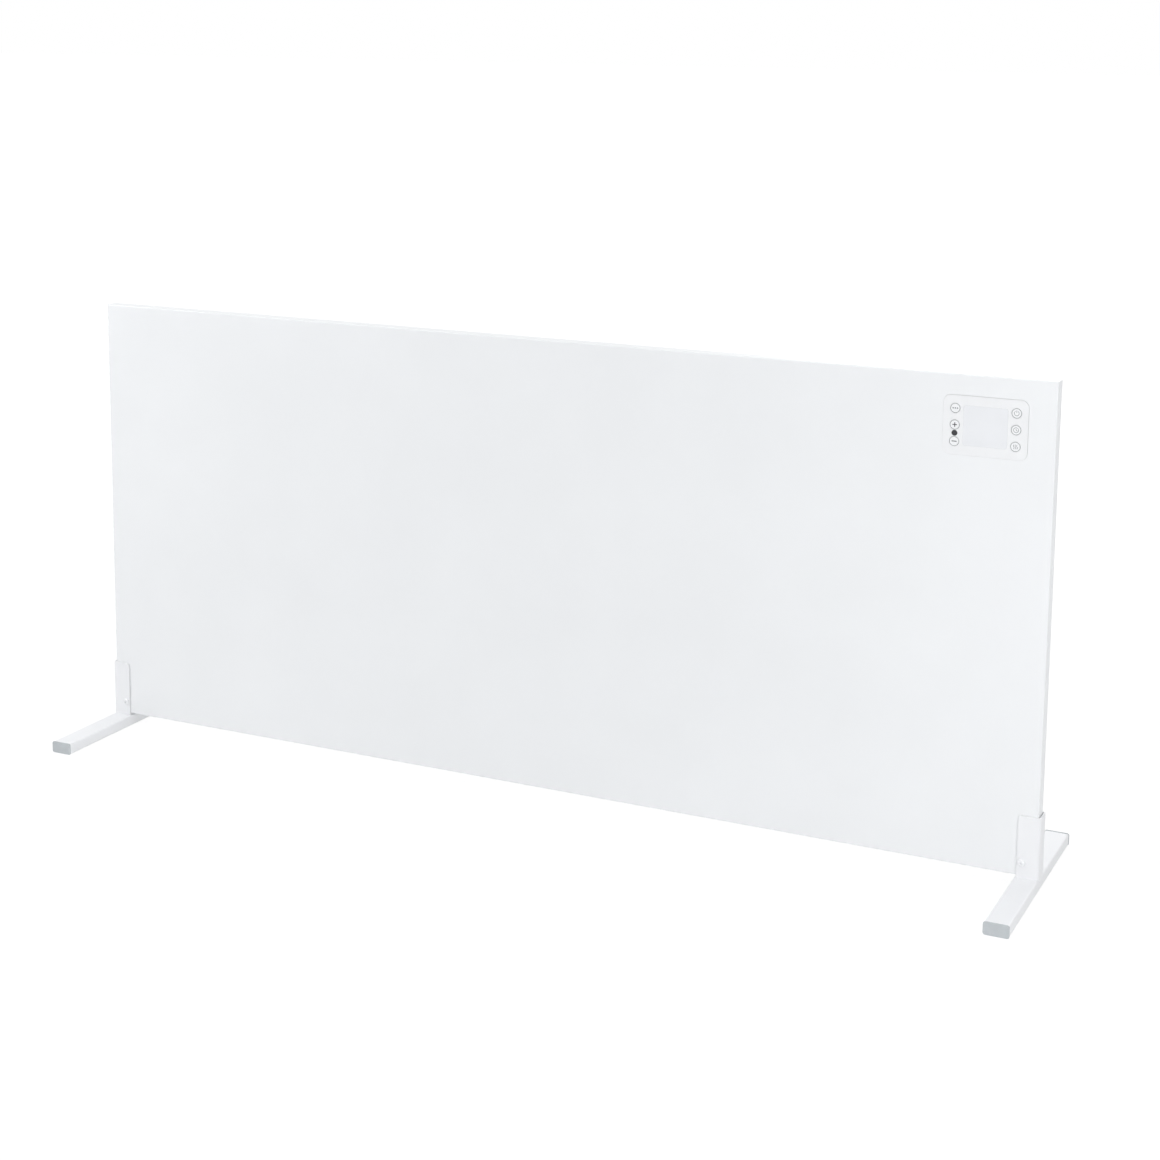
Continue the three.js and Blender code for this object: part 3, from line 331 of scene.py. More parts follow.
def loose_fibre(name, colour, roughness):
    """A felted blanket of pale mineral fibre."""
    felt = Finish(name, colour, roughness)
    tufts = felt.noise(width=12 * MM, detail=5, rough=0.7)
    strands = felt.noise(width=1.2 * MM, detail=4, rough=0.7, place=felt.stretched(0.25, 1, 1))
    felt.mottle(tufts, darkest=0.75, lightest=1.12)
    felt.relief(tufts, depth=1.2 * MM, strength=0.5)
    felt.relief(strands, depth=0.3 * MM, strength=0.8)
    return felt.material


def silicone_sleeve(name, colour, roughness):
    """Soft silicone sleeve with a dusty sheen."""
    sleeve = Finish(name, colour, roughness, Sheen_Weight=0.2)
    sleeve.mottle(sleeve.noise(width=2.5 * MM, detail=3), darkest=0.85, lightest=1.2)
    sleeve.relief(sleeve.noise(width=0.4 * MM), depth=0.02 * MM, strength=0.5)
    return sleeve.material


def solder_resist(name, colour, roughness):
    """Green resist over the board's copper tracks."""
    resist = Finish(name, colour, roughness, Coat_Weight=0.3, Coat_Roughness=0.2)
    tracks = resist.spread(resist.cell_walls(width=5 * MM), 1, 0, start=0.06, end=0.1)
    resist.vary_colour(tracks, darkest=0.8, lightest=1.7)
    resist.relief(tracks, depth=0.035 * MM, strength=0.8)
    return resist.material


def flat_cable(name, colour, roughness):
    """Ribbed flat cable, one rib for each core, with painted shade that darkens the grooves between the
    ribs.
    """
    cable = Finish(name, colour, roughness)
    ribs_and_groove_shade = cable.bands(pitch=1.27 * MM, direction="X")
    # The colour darkens in the grooves between the ribs: painted shade
    cable.mottle(ribs_and_groove_shade, darkest=0.7, lightest=1.05)
    cable.relief(ribs_and_groove_shade, depth=0.2 * MM, strength=0.7)
    return cable.material


def printed_ink(name, colour):
    """Screen-printed ink with a slightly uneven tone."""
    print_coat = Finish(name, colour, roughness=0.45)
    density = print_coat.noise(width=0.35 * MM, detail=3)
    print_coat.mottle(density, darkest=0.9, lightest=1.12)
    print_coat.relief(density, depth=0.005 * MM, strength=0.4)
    return print_coat.material


def ink(name, colour):
    """A printed ink, mixed when it is first needed."""
    return bpy.data.materials.get(name) or printed_ink(name, tuple(colour))


# Which finish each of the record's material slots takes, with its roughness, but for the two paints
PLAIN_FINISHES = {
    "screw_steel": (plated_steel, 0.28),
    "zinc_steel": (plated_steel, 0.42),
    "heater_film": (resistive_film, 0.6),
    "mineral_fibre": (loose_fibre, 0.95),
    "wire_insulation": (silicone_sleeve, 0.5),
    "inner_plastic": (moulded_plastic, 0.5),
    "board_laminate": (solder_resist, 0.4),
    "relay_case": (moulded_plastic, 0.4),
    "black_plastic": (moulded_plastic, 0.45),
    "ribbon_plastic": (flat_cable, 0.5),
    "fascia_plastic": (smooth_plastic, 0.3),
    "key_plastic": (smooth_plastic, 0.28),
    "display_pane": (smooth_plastic, 0.16),
    "dark_lens": (lens_plastic, 0.35),
    "cap_plastic": (moulded_plastic, 0.5),
}


def finish_for(slot):
    """The finish of a material slot, made when it is first needed."""
    name = f"{slot}_finish"
    if name in bpy.data.materials:
        return bpy.data.materials[name]
    paint = bpy.context.scene.heater_paint
    painted = {"case_paint": paint.case, "foot_paint": paint.foot}
    if slot in painted:
        return powder_coat(name, tuple(painted[slot]), paint)
    make, roughness = PLAIN_FINISHES[slot]
    return make(name, tuple(RECORD_COLOURS[slot]), roughness)


# Edges and pieces


def keep_flats(piece, by_bevel=False):
    """Shades the piece smoothly with its flat faces left flat, by its sharp edges or by its bevel."""
    flats = piece.modifiers.new("Keep flats", "WEIGHTED_NORMAL")
    flats.weight = 100
    flats.keep_sharp = not by_bevel
    flats.use_face_influence = by_bevel


def soften(piece, radius):
    """Rounds the piece's edges, once the seams of its facets are closed and its flats are joined."""
    seams = piece.modifiers.new("Close seams", "WELD")
    seams.merge_threshold = 0.001 * MM
    joined = piece.modifiers.new("Join flats", "DECIMATE")
    joined.decimate_type = "DISSOLVE"
    joined.angle_limit = math.radians(0.2)
    bevel = piece.modifiers.new("Round edges", "BEVEL")
    bevel.width = radius
    bevel.segments = 3
    bevel.limit_method = "ANGLE"
    bevel.angle_limit = SHARP_ANGLE
    bevel.face_strength_mode = "FSTR_ALL"
    keep_flats(piece, by_bevel=True)


def with_ends(stem, ends):
    """The names of nodes that differ in their last word."""
    return [f"{stem}_{end}" for end in ends]


def finish_nodes(names, radius=None):
    """Gives CAD nodes the finish of their slots and, where a radius is given, rounded edges."""
    for name in names:
        if name not in NODES:
            raise RuntimeError(f"the packed model has no piece named {name}")
        piece = NODES[name]
        for held in piece.material_slots:
            if held.material.name in RECORD_COLOURS:
                held.material = finish_for(held.material.name)
        if radius:
            soften(piece, radius)


def new_piece(name, form, material):
    """An object from a bmesh, smooth but for its sharp edges. It takes the place of one of the same name."""
    old = bpy.data.objects.get(name)
    if old:
        bpy.data.objects.remove(old)
    mesh = bpy.data.meshes.new(name)
    bmesh.ops.recalc_face_normals(form, faces=form.faces)
    for face in form.faces:
        face.smooth = True
    for edge in form.edges:
        edge.smooth = len(edge.link_faces) == 2 and edge.calc_face_angle() < SHARP_ANGLE
    form.to_mesh(mesh)
    form.free()
    mesh.materials.append(material)
    made = bpy.data.objects.new(name, mesh)
    bpy.context.scene.collection.objects.link(made)
    return made


def stand_in(node, form, place=(0, 0, 0)):
    """A finer piece in place of a CAD node, with the node's finish, on the node's body."""
    slot = NODES[node].material_slots[0].material.name
    piece = new_piece(f"{node}_fine", form, finish_for(slot))
    piece.location = place
    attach(piece, BODY_OF[node])
    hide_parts(node)
    return piece


def middle_of(node, y=0.0):
    """The middle of a node's box in X and Z, at a place along Y."""
    low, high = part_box(node)
    return Vector(((low.x + high.x) / 2, y, (low.z + high.z) / 2))


def turn_piece(node, loops, hollow=False):
    """Turns a finer piece about a node's middle, by outlines that each have their own Y."""
    form = bmesh.new()
    add_stack(form, loops, hollow)
    keep_flats(stand_in(node, form, middle_of(node)))


# Outlines in X and Z, and the solids made from them


def arc(radius, start, end, middle=(0, 0), steps=32):
    """Points along an arc, with its angles in degrees, anticlockwise from the right."""
    points = []
    for step in range(steps + 1):
        angle = math.radians(start + (end - start) * step / steps)
        points.append((middle[0] + radius * math.cos(angle), middle[1] + radius * math.sin(angle)))
    return points


def radial(reach):
    """Points at even angles about zero, each as far out as reach says for its angle."""
    angles = [2 * math.pi * step / ROUND_POINTS for step in range(ROUND_POINTS)]
    return [(reach(angle) * math.cos(angle), reach(angle) * math.sin(angle)) for angle in angles]


def circle(radius, middle=(0, 0)):
    return [(middle[0] + x, middle[1] + z) for x, z in radial(lambda angle: radius)]


def hexagon(radius, limit=math.inf, turn=0.0):
    """A hexagon by the radius of its corners, cut back to a circle of the limit's radius."""
    side = math.pi / 3

    def reach(angle):
        off = (angle - turn) % side - side / 2
        return min(limit, radius * math.cos(side / 2) / math.cos(off))

    return radial(reach)


def cross(length, width):
    """A cross with arms of a length from tip to tip."""

    def reach(angle):
        across, along = sorted((abs(math.cos(angle)), abs(math.sin(angle))))
        return length / 2 / along if across * length < along * width else width / 2 / across

    return radial(reach)


def ridged(radius, depth, ridges):
    """A circle with grip ridges."""
    return radial(lambda angle: radius - depth * (0.5 - 0.5 * math.cos(ridges * angle)))


def rounded_rectangle(width, height, corner, middle=(0, 0)):
    """A rectangle with round corners, anticlockwise from its right side."""
    points = []
    for start, side, end in ((0, 1, 1), (90, -1, 1), (180, -1, -1), (270, 1, -1)):
        centre = (middle[0] + side * (width / 2 - corner), middle[1] + end * (height / 2 - corner))
        points += arc(corner, start, start + 90, centre, steps=12)
    return points


def quarter_turn(steps):
    """The sines and cosines of even steps over a quarter turn."""
    angles = [math.pi / 2 * step / steps for step in range(steps + 1)]
    return [(math.sin(angle), math.cos(angle)) for angle in angles]


def add_rings(form, loops):
    """The points of outlines, each at its own Y."""
    return [[form.verts.new((x, y, z)) for x, z in outline] for y, outline in loops]


def add_wall(form, near, far):
    """The faces between two rings."""
    for index in range(len(near)):
        form.faces.new((near[index - 1], near[index], far[index], far[index - 1]))


def add_stack(form, loops, hollow=False):
    """A solid that joins outlines, each at its own Y. A hollow one joins the last to the first."""
    rings = add_rings(form, loops)
    after = rings[1:] + rings[:1]
    for near, far in zip(rings if hollow else rings[:-1], after):
        add_wall(form, near, far)
    if not hollow:
        form.faces.new(rings[0])
        form.faces.new(rings[-1])


def add_plate(form, walls):
    """A plate by the walls of its outline and holes, each a row of outlines at their own Y."""
    rims = ([], [])
    for loops in walls:
        rings = add_rings(form, loops)
        for near, far in zip(rings, rings[1:]):
            add_wall(form, near, far)
        for edges, ring in zip(rims, (rings[0], rings[-1])):
            edges += [form.edges.get((ring[index - 1], ring[index])) for index in range(len(ring))]
    for edges in rims:
        bmesh.ops.triangle_fill(form, use_beauty=True, use_dissolve=False, edges=edges)


def add_slab(form, outline, front, rear, holes=()):
    """A flat plate of an outline, with holes, from one Y to another."""
    add_plate(form, [[(front, curve), (rear, curve)] for curve in (outline, *holes)])


# The steps, one for each piece or group of like pieces


class HEATER_OT_camera(bpy.types.Operator):
    """Stand the camera where it sees the panel from its front right"""

    bl_idname = "heater.camera"
    bl_label = "Camera"

    def execute(self, context):
        studio = context.scene.heater_studio
        data = bpy.data.cameras.new("photo_camera")
        data.lens = studio.focal_length
        data.sensor_width = studio.sensor_width
        data.shift_y = studio.lens_shift
        camera = bpy.data.objects.new("photo_camera", data)
        context.scene.collection.objects.link(camera)
        aim = Matrix.Rotation(studio.camera_turn, 4, "Z")
        aim @= Matrix.Rotation(math.pi / 2 - studio.camera_tilt, 4, "X")
        aim @= Matrix.Rotation(studio.camera_roll, 4, "Z")
        camera.matrix_world = Matrix.Translation(studio.camera_place) @ aim
        context.scene.camera = camera
        return {"FINISHED"}


class HEATER_OT_studio(bpy.types.Operator):
    """Lay the pale floor, and light the panel softly from all sides"""

    bl_idname = "heater.studio"
    bl_label = "Floor and lights"

    # Each lamp: its name, its place and size in metres, its power in watts and what it aims at
    lamps = (
        ("left_near", (-1.7, -1.3, 1.4), (1.0, 1.0), 15.6, (-0.675, 0, 0.6)),
        ("right_near", (1.6, -1.1, 0.9), (0.9, 1.2), 3.8, (0.675, 0, 0.4)),
        ("right_low", (1.8, -1.6, 0.5), (1.0, 0.8), 9.6, (0.675, 0, 0.15)),
        ("front_high", (0, -3.0, 2.4), (2.0, 1.6), 4.5, (0, 0, 0.4)),
        ("overhead", (0, -0.3, 4.0), (4.3, 2.9), 60, (0, 0, 0)),
        ("rear", (0.4, 3.0, 1.6), (2.6, 1.8), 24.6, (0, 0, 0.3)),
        ("rear_low", (-1.0, 2.3, 0.35), (1.0, 0.6), 9, (0, 0, 0.3)),
    )
    floor_reach = 40.0
    floor_drop = 0.02 * MM
    shadow_share = 0.2

    # The floor's glow at the object, and the distances between which it rises to white
    glow_near = 0.86
    glow_rise = (1.0, 2.4)

    def execute(self, context):
        studio = context.scene.heater_studio
        self.lay_floor(studio)
        self.light_sky(context, studio)
        for name, place, size, power, aim in self.lamps:
            lamp = self.hang_lamp(name, place, size, power * studio.lamp_level, aim)
            lamp.data.color = studio.lamp_colour
            context.scene.collection.objects.link(lamp)
        context.scene.view_settings.view_transform = "Standard"
        return {"FINISHED"}

    def seen_directly(self, tree):
        """1 for rays from the camera and from mirror or clear surfaces, and 0 for the others."""
        path = tree.nodes.new("ShaderNodeLightPath")
        total = path.outputs["Is Camera Ray"]
        for ray in ("Is Glossy Ray", "Is Transmission Ray"):
            either = tree.nodes.new("ShaderNodeMath")
            either.operation = "MAXIMUM"
            tree.links.new(total, either.inputs[0])
            tree.links.new(path.outputs[ray], either.inputs[1])
            total = either.outputs[0]
        return total

    def show(self, tree, seen, unseen, output):
        """Gives rays that see the surface directly one shader, and the others another."""
        mix = tree.nodes.new("ShaderNodeMixShader")
        tree.links.new(self.seen_directly(tree), mix.inputs["Fac"])
        tree.links.new(unseen.outputs[0], mix.inputs[1])
        tree.links.new(seen.outputs[0], mix.inputs[2])
        tree.links.new(mix.outputs[0], tree.nodes[output].inputs["Surface"])

    def lay_floor(self, studio):
        """A pale floor. Seen directly it glows up to white, and keeps a share of the object's shadow."""
        form = bmesh.new()
        bmesh.ops.create_grid(form, x_segments=2, y_segments=2, size=self.floor_reach)
        material = bpy.data.materials.new("studio_floor")
        floor = new_piece("studio_floor", form, material)
        floor.location.z = -self.floor_drop
        material.use_nodes = True
        tree = material.node_tree
        new, link = tree.nodes.new, tree.links.new
        tree.nodes.remove(tree.nodes["Principled BSDF"])
        pale = new("ShaderNodeBsdfDiffuse")
        shadow = new("ShaderNodeBsdfDiffuse")
        glow = new("ShaderNodeEmission")
        pale.inputs["Color"].default_value = (*studio.floor, 1)
        shadow.inputs["Color"].default_value = (*[self.shadow_share] * 3, 1)
        distance = new("ShaderNodeVectorMath")
        distance.operation = "LENGTH"
        rise = new("ShaderNodeMapRange")
        rise.inputs["From Min"].default_value, rise.inputs["From Max"].default_value = self.glow_rise
        rise.inputs["To Min"].default_value = self.glow_near
        both = new("ShaderNodeAddShader")
        link(new("ShaderNodeTexCoord").outputs["Object"], distance.inputs[0])
        link(distance.outputs["Value"], rise.inputs["Value"])
        link(rise.outputs["Result"], glow.inputs["Strength"])
        link(glow.outputs[0], both.inputs[0])
        link(shadow.outputs[0], both.inputs[1])
        self.show(tree, both, pale, "Material Output")

    def light_sky(self, context, studio):
        """Even light from all sides. Seen directly, the sky is white."""
        world = bpy.data.worlds.new("studio_sky")
        world.use_nodes = True
        tree = world.node_tree
        even = tree.nodes["Background"]
        even.inputs["Color"].default_value = (*studio.sky_colour, 1)
        even.inputs["Strength"].default_value = studio.sky_level
        white = tree.nodes.new("ShaderNodeBackground")
        white.inputs["Color"].default_value = (1, 1, 1, 1)
        self.show(tree, white, even, "World Output")
        context.scene.world = world

    def hang_lamp(self, name, place, size, power, aim):
        """A soft rectangular lamp that the camera doesn't see."""
        data = bpy.data.lights.new(name, "AREA")
        data.shape = "RECTANGLE"
        data.size, data.size_y = size
        data.energy = power
        lamp = bpy.data.objects.new(name, data)
        lamp.location = place
        lamp.rotation_euler = (Vector(aim) - Vector(place)).to_track_quat("-Z", "Y").to_euler()
        lamp.visible_camera = False
        return lamp


class HEATER_OT_case(bpy.types.Operator):
    """Finish the painted tray and its rear cover, and the stiffeners and bushes between them"""

    bl_idname = "heater.case"
    bl_label = "Case"

    def execute(self, context):
        finish_nodes(["front_tray", "rear_cover"], context.scene.heater_edges.sheet)
        for stem in ("stiffener", "corner_spacer"):
            finish_nodes(with_ends(stem, SIDE_NAMES))
        return {"FINISHED"}


class HEATER_OT_feet(bpy.types.Operator):
    """Finish the tube feet, their end caps, and the brackets that carry the panel"""

    bl_idname = "heater.feet"
    bl_label = "Feet"

    def execute(self, context):
        edges = context.scene.heater_edges
        finish_nodes(with_ends("foot_tube", SIDE_NAMES), edges.fine)
        finish_nodes(with_ends("bracket", SIDE_NAMES), edges.plate)
        for side in SIDE_NAMES:
            finish_nodes(with_ends(f"foot_cap_{side}", ("front", "rear")), edges.cap)
        return {"FINISHED"}


class HEATER_OT_fasteners(bpy.types.Operator):
    """Turn the bolts and nuts that hold the brackets, and the screws of the rear cover"""

    bl_idname = "heater.fasteners"
    bl_label = "Bolts, nuts and screws"

    # A flat or a face is the radius of a flat end, and a rim is the height of a head's straight side
    bolt_head = {"radius": 4.75 * MM, "height": 2.6 * MM, "rim": 0.5 * MM, "flat": 2.6 * MM}
    socket = {"radius": 1.7 * MM, "depth": 1.5 * MM}
    shank = {"radius": 2.5 * MM, "root": 2.15 * MM, "pitch": 0.8 * MM, "turns": 9}
    nut = {"radius": 4.6 * MM, "bore": 2.8 * MM, "chamfer": 0.35 * MM, "face": 4.2 * MM}
    screw_head = {"radius": 3.3 * MM, "height": 1.8 * MM, "rim": 0.4 * MM, "flat": 2.1 * MM}
    screw_shank = {"radius": 1.5 * MM, "tip": 0.9 * MM}
    recess = {"length": 3.6 * MM, "width": 0.9 * MM, "depth": 1.0 * MM, "floor_share": 0.55}

    def execute(self, context):
        for side in SIDE_NAMES:
            self.turn_bolt(f"bracket_bolt_{side}")
            self.turn_nut(f"bracket_nut_{side}")
        for row in ("top", "bottom"):
            for number in (1, 2, 3, 4):
                self.turn_screw(f"cover_screw_{row}_{number}")
        for node in with_ends("cover_screw", SIDE_NAMES):
            self.turn_screw(node)
        return {"FINISHED"}

    def crown(self, head, top, rise):
        """The rounded shoulder of a head, from its flat top to its rim. Rise is 1 or -1 along Y."""
        flat, spread = head["flat"], head["radius"] - head["flat"]
        drop = head["height"] - head["rim"]
        return [
            (top - rise * drop * (1 - cosine), circle(flat + spread * sine))
            for sine, cosine in quarter_turn(steps=6)
        ]

    def turn_bolt(self, node):
        """A domed head with a hexagon socket, and a shank that ends in a thread."""
        low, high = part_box(node)
        head, socket, shank = self.bolt_head, self.socket, self.shank
        flats = hexagon(socket["radius"])
        crest, root = circle(shank["radius"]), circle(shank["root"])
        under = low.y + head["height"]
        thread = high.y - shank["pitch"] * (shank["turns"] + 1)
        loops = [(low.y + socket["depth"], flats), (low.y, flats), *self.crown(head, low.y, -1)]
        loops += [(under, circle(head["radius"])), (under, crest)]
        for turn in range(shank["turns"]):
            start = thread + turn * shank["pitch"]
            loops += [(start, crest), (start + shank["pitch"] / 2, root)]
        loops += [(high.y - shank["pitch"], crest), (high.y, root)]
        turn_piece(node, loops)

    def turn_nut(self, node):
        """A hexagon nut with chamfered corners and an open bore."""
        low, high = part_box(node)
        nut, up = self.nut, math.pi / 2
        bore = circle(nut["bore"])
        rounded = hexagon(nut["radius"], nut["face"], up)
        full = hexagon(nut["radius"], turn=up)
        loops = [(low.y, bore), (low.y, rounded), (low.y + nut["chamfer"], full)]
        loops += [(high.y - nut["chamfer"], full), (high.y, rounded), (high.y, bore)]
        turn_piece(node, loops, hollow=True)

    def turn_screw(self, node):
        """A domed head with a cross recess, and a plain shank with a tapered tip."""
        low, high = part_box(node)
        head, shank, recess = self.screw_head, self.screw_shank, self.recess
        length, width, share = recess["length"], recess["width"], recess["floor_share"]
        under, side = high.y - head["height"], circle(shank["radius"])
        loops = [(high.y - recess["depth"], cross(length * share, width * share))]
        loops += [(high.y, cross(length, width)), *self.crown(head, high.y, 1)]
        loops += [(under, circle(head["radius"])), (under, side)]
        loops += [(low.y + shank["radius"], side), (low.y, circle(shank["tip"]))]
        turn_piece(node, loops)


class HEATER_OT_controls(bpy.types.Operator):
    """Cut the control panel's plate, and set the display and the receiver's lens in it"""

    bl_idname = "heater.controls"
    bl_label = "Control panel"

    # The rims behind the plate, the gap round the lens, and the rounding of the plate's front edges
    pane_rim = 1.2 * MM
    pane_rim_height = 0.8 * MM
    lens_rim_height = 0.7 * MM
    lens_hole_gap = 0.1 * MM
    plate_edge = 0.1 * MM

    # Where the rings of the lens's dome lie, as shares of its radius
    dome_shares = (0.1, 0.35, 0.6, 0.8, 0.93, 1)

    def execute(self, context):
        sizes = context.scene.heater_controls
        edges = context.scene.heater_edges
        self.cut_plate(sizes)
        self.glaze_display(sizes, edges)
        self.mould_lens(sizes)
        finish_nodes(["control_housing", "control_board", "display_module", "ir_receiver"])
        return {"FINISHED"}

    def cut_plate(self, sizes):
        """The plate, with a window, six key holes and a lens hole. Its edges are rounded in front."""
        low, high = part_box("control_fascia")
        grow = sizes.plate_growth
        middle = middle_of("control_fascia")
        width, height = high.x - low.x + grow, high.z - low.z + grow
        place = (middle.x - grow / 2, middle.z - grow / 2)

        def outer(inset):
            corner = sizes.plate_corner - inset
            return rounded_rectangle(width - 2 * inset, height - 2 * inset, corner, place)

        def window(inset):
            border = self.pane_rim - sizes.window_gap - inset
            return self.pane_outline(sizes.window_corner + inset, border)

        def hole(node, radius):
            at = middle_of(node)
            return lambda inset: circle(radius + inset, (at.x, at.z))

        curves = [outer, window, hole("ir_window", sizes.lens_radius + self.lens_hole_gap)]
        curves += [hole(f"key_{name}", sizes.key_radius + sizes.key_gap) for name in KEY_NAMES]
        form = bmesh.new()
        add_plate(form, [self.rounded_wall(curve, low.y, high.y) for curve in curves])
        keep_flats(stand_in("control_fascia", form))

    def rounded_wall(self, curve, front, rear):
        """A wall with a round front edge. The curve is called with how far it is drawn into the plate."""
        edge = self.plate_edge
        rounding = quarter_turn(steps=4)
        loops = [(front + edge * (1 - cosine), curve(edge * (1 - sine))) for sine, cosine in rounding]
        return loops + [(rear, curve(0))]

    def pane_outline(self, corner, inset):
        """The outline of the display's box, drawn in on every side."""
        low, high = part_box("display_window")
        middle = middle_of("display_window")
        width, height = high.x - low.x - 2 * inset, high.z - low.z - 2 * inset
        return rounded_rectangle(width, height, corner, (middle.x, middle.z))

    def glaze_display(self, sizes, edges):
        """A flat pane, with a wider rim behind the plate."""
        low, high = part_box("display_window")
        pane = self.pane_outline(sizes.window_corner, self.pane_rim)
        rim = self.pane_outline(sizes.window_corner + self.pane_rim, 0)
        ledge = high.y - self.pane_rim_height
        form = bmesh.new()
        add_stack(form, [(low.y, pane), (ledge, pane), (ledge, rim), (high.y, rim)])
        soften(stand_in("display_window", form), edges.fine / 2)

    def mould_lens(self, sizes):
        """A low dome, with a wider rim behind the plate."""
        low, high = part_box("ir_window")
        rim = (high.z - low.z) / 2
        ledge = high.y - self.lens_rim_height
        loops = []
        for share in self.dome_shares:
            drop = sizes.lens_crown * (1 - math.sqrt(1 - share ** 2))
            loops.append((low.y + drop, circle(sizes.lens_radius * share)))
        loops += [(ledge, circle(sizes.lens_radius)), (ledge, circle(rim)), (high.y, circle(rim))]
        turn_piece("ir_window", loops)


# The symbols on the keys, as outlines about a key's middle, for a width of line


def stroke(points, width):
    """The outline of a line of a width through points in X and Z, with round ends."""
    radius, cap_steps = width / 2, 8
    path = [Vector(point) for point in points]
    left, right = [], []

    # No corner of the outline is further from its point than the line's width
    least_cosine = 0.5
    for index, point in enumerate(path):
        before = (point - path[max(index - 1, 0)]).normalized()
        after = (path[min(index + 1, len(path) - 1)] - point).normalized()
        ahead = (before + after).normalized()
        square = Vector((-ahead.y, ahead.x))
        leg = after if after.length > 0 else before
        mitre = radius / max(least_cosine, square.dot(Vector((-leg.y, leg.x))))
        left.append(point + square * mitre)
        right.append(point - square * mitre)
    outline = list(left)
    for middle, start in ((path[-1], left[-1]), (path[0], right[0])):
        arm = start - middle
        for step in range(1, cap_steps):
            turn = Matrix.Rotation(-math.pi * step / cap_steps, 2)
            outline.append(middle + turn @ arm)
        if middle is path[-1]:
            outline += reversed(right)
    return outline


def dots_symbol(width):
    """Three dots in a row, for more choices. Their size doesn't depend on the width of line."""
    radius, pitch = 0.9 * MM, 2.6 * MM
    return [circle(radius, (x, 0)) for x in (-pitch, 0, pitch)]


def plus_symbol(width):
    reach, half = 2.7 * MM, width / 2
    outline = []
    quarter = [(half, half), (half, reach), (-half, reach)]
    for _ in range(4):
        outline += quarter
        quarter = [(-z, x) for x, z in quarter]
    return [outline]


def bar_outline(half_width, half_height):
    """A rectangle about zero, anticlockwise."""
    x, z = half_width, half_height
    return [(-x, -z), (x, -z), (x, z), (-x, z)]


def minus_symbol(width):
    return [bar_outline(3 * MM, width / 2)]


def power_symbol(width):
    """A ring that is open above, with a bar in the gap."""
    ring = arc(2.8 * MM, start=125, end=415)
    bar = [(0, 0.8 * MM), (0, 3.4 * MM)]
    return [stroke(ring, width), stroke(bar, width)]


def clock_symbol(width):
    """A clock's rim with its two hands."""
    rim = arc(2.9 * MM, start=75, end=420)
    hands = [(0, 1.6 * MM), (0, 0), (1.2 * MM, -0.7 * MM)]
    return [stroke(rim, width), stroke(hands, width)]


def heat_symbol(width):
    """Three rising waves."""
    pitch, sway, height, steps = 1.9 * MM, 0.45 * MM, 4.8 * MM, 16
    shares = [step / steps for step in range(steps + 1)]
    waves = []
    for x in (-pitch, 0, pitch):
        points = [(x + sway * math.sin(2 * math.pi * share), (share - 0.5) * height) for share in shares]
        waves.append(stroke(points, width))
    return waves


class HEATER_OT_keys(bpy.types.Operator):
    """Mould the six keys, and print on each a symbol and a ring at its rim, which is partly print and partly
    painted shade of the gap round the key
    """

    bl_idname = "heater.keys"
    bl_label = "Keys"

    symbols = dict(
        zip(KEY_NAMES, (dots_symbol, plus_symbol, minus_symbol, power_symbol, clock_symbol, heat_symbol))
    )
    bold = ("plus", "minus")
    flange_gap = 0.25 * MM
    flange_height = 0.8 * MM
    stem_radius = 2 * MM

    def execute(self, context):
        look = context.scene.heater_print
        for name, symbol in self.symbols.items():
            self.mould_key(context.scene.heater_controls, f"key_{name}")
            self.print_ring(look, name)
            self.print_symbol(look, name, symbol)
        return {"FINISHED"}

    def mould_key(self, sizes, node):
        """A round key with a rounded face edge, a flange behind the plate and a stem."""
        low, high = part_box(node)
        flange = circle((high.x - low.x) / 2)
        flange_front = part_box("control_fascia")[1].y + self.flange_gap
        flange_rear = flange_front + self.flange_height
        edge, inner = sizes.key_edge, sizes.key_radius - sizes.key_edge
        rounding = quarter_turn(steps=4)
        loops = [(low.y + edge * (1 - cosine), circle(inner + edge * sine)) for sine, cosine in rounding]
        loops += [(flange_front, circle(sizes.key_radius)), (flange_front, flange), (flange_rear, flange)]
        loops += [(flange_rear, circle(self.stem_radius)), (high.y, circle(self.stem_radius))]
        turn_piece(node, loops)

    def print_on(self, name, piece):
        """Lays a print on a key's face, so that it moves with the key."""
        node = f"key_{name}"
        piece.location = middle_of(node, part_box(node)[0].y)
        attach(piece, BODY_OF[node])

    # The grey ring at the key's rim is partly print and partly painted shade: it deepens the dark line of
    # the gap round the key
    def print_ring(self, look, name):
        outer, inner = circle(look.ring_radius), circle(look.ring_radius - look.ring_width)
        form = bmesh.new()
        add_slab(form, outer, -look.proud, look.proud, [inner])
        self.print_on(name, new_piece(f"ring_{name}", form, ink("grey_ink", look.grey)))

    def print_symbol(self, look, name, symbol):
        is_bold = name in self.bold
        form = bmesh.new()
        for outline in symbol(look.bold_width if is_bold else look.line_width):
            add_slab(form, outline, -look.proud, look.proud)
        colour = ink("dark_ink", look.dark) if is_bold else ink("grey_ink", look.grey)
        self.print_on(name, new_piece(f"symbol_{name}", form, colour))


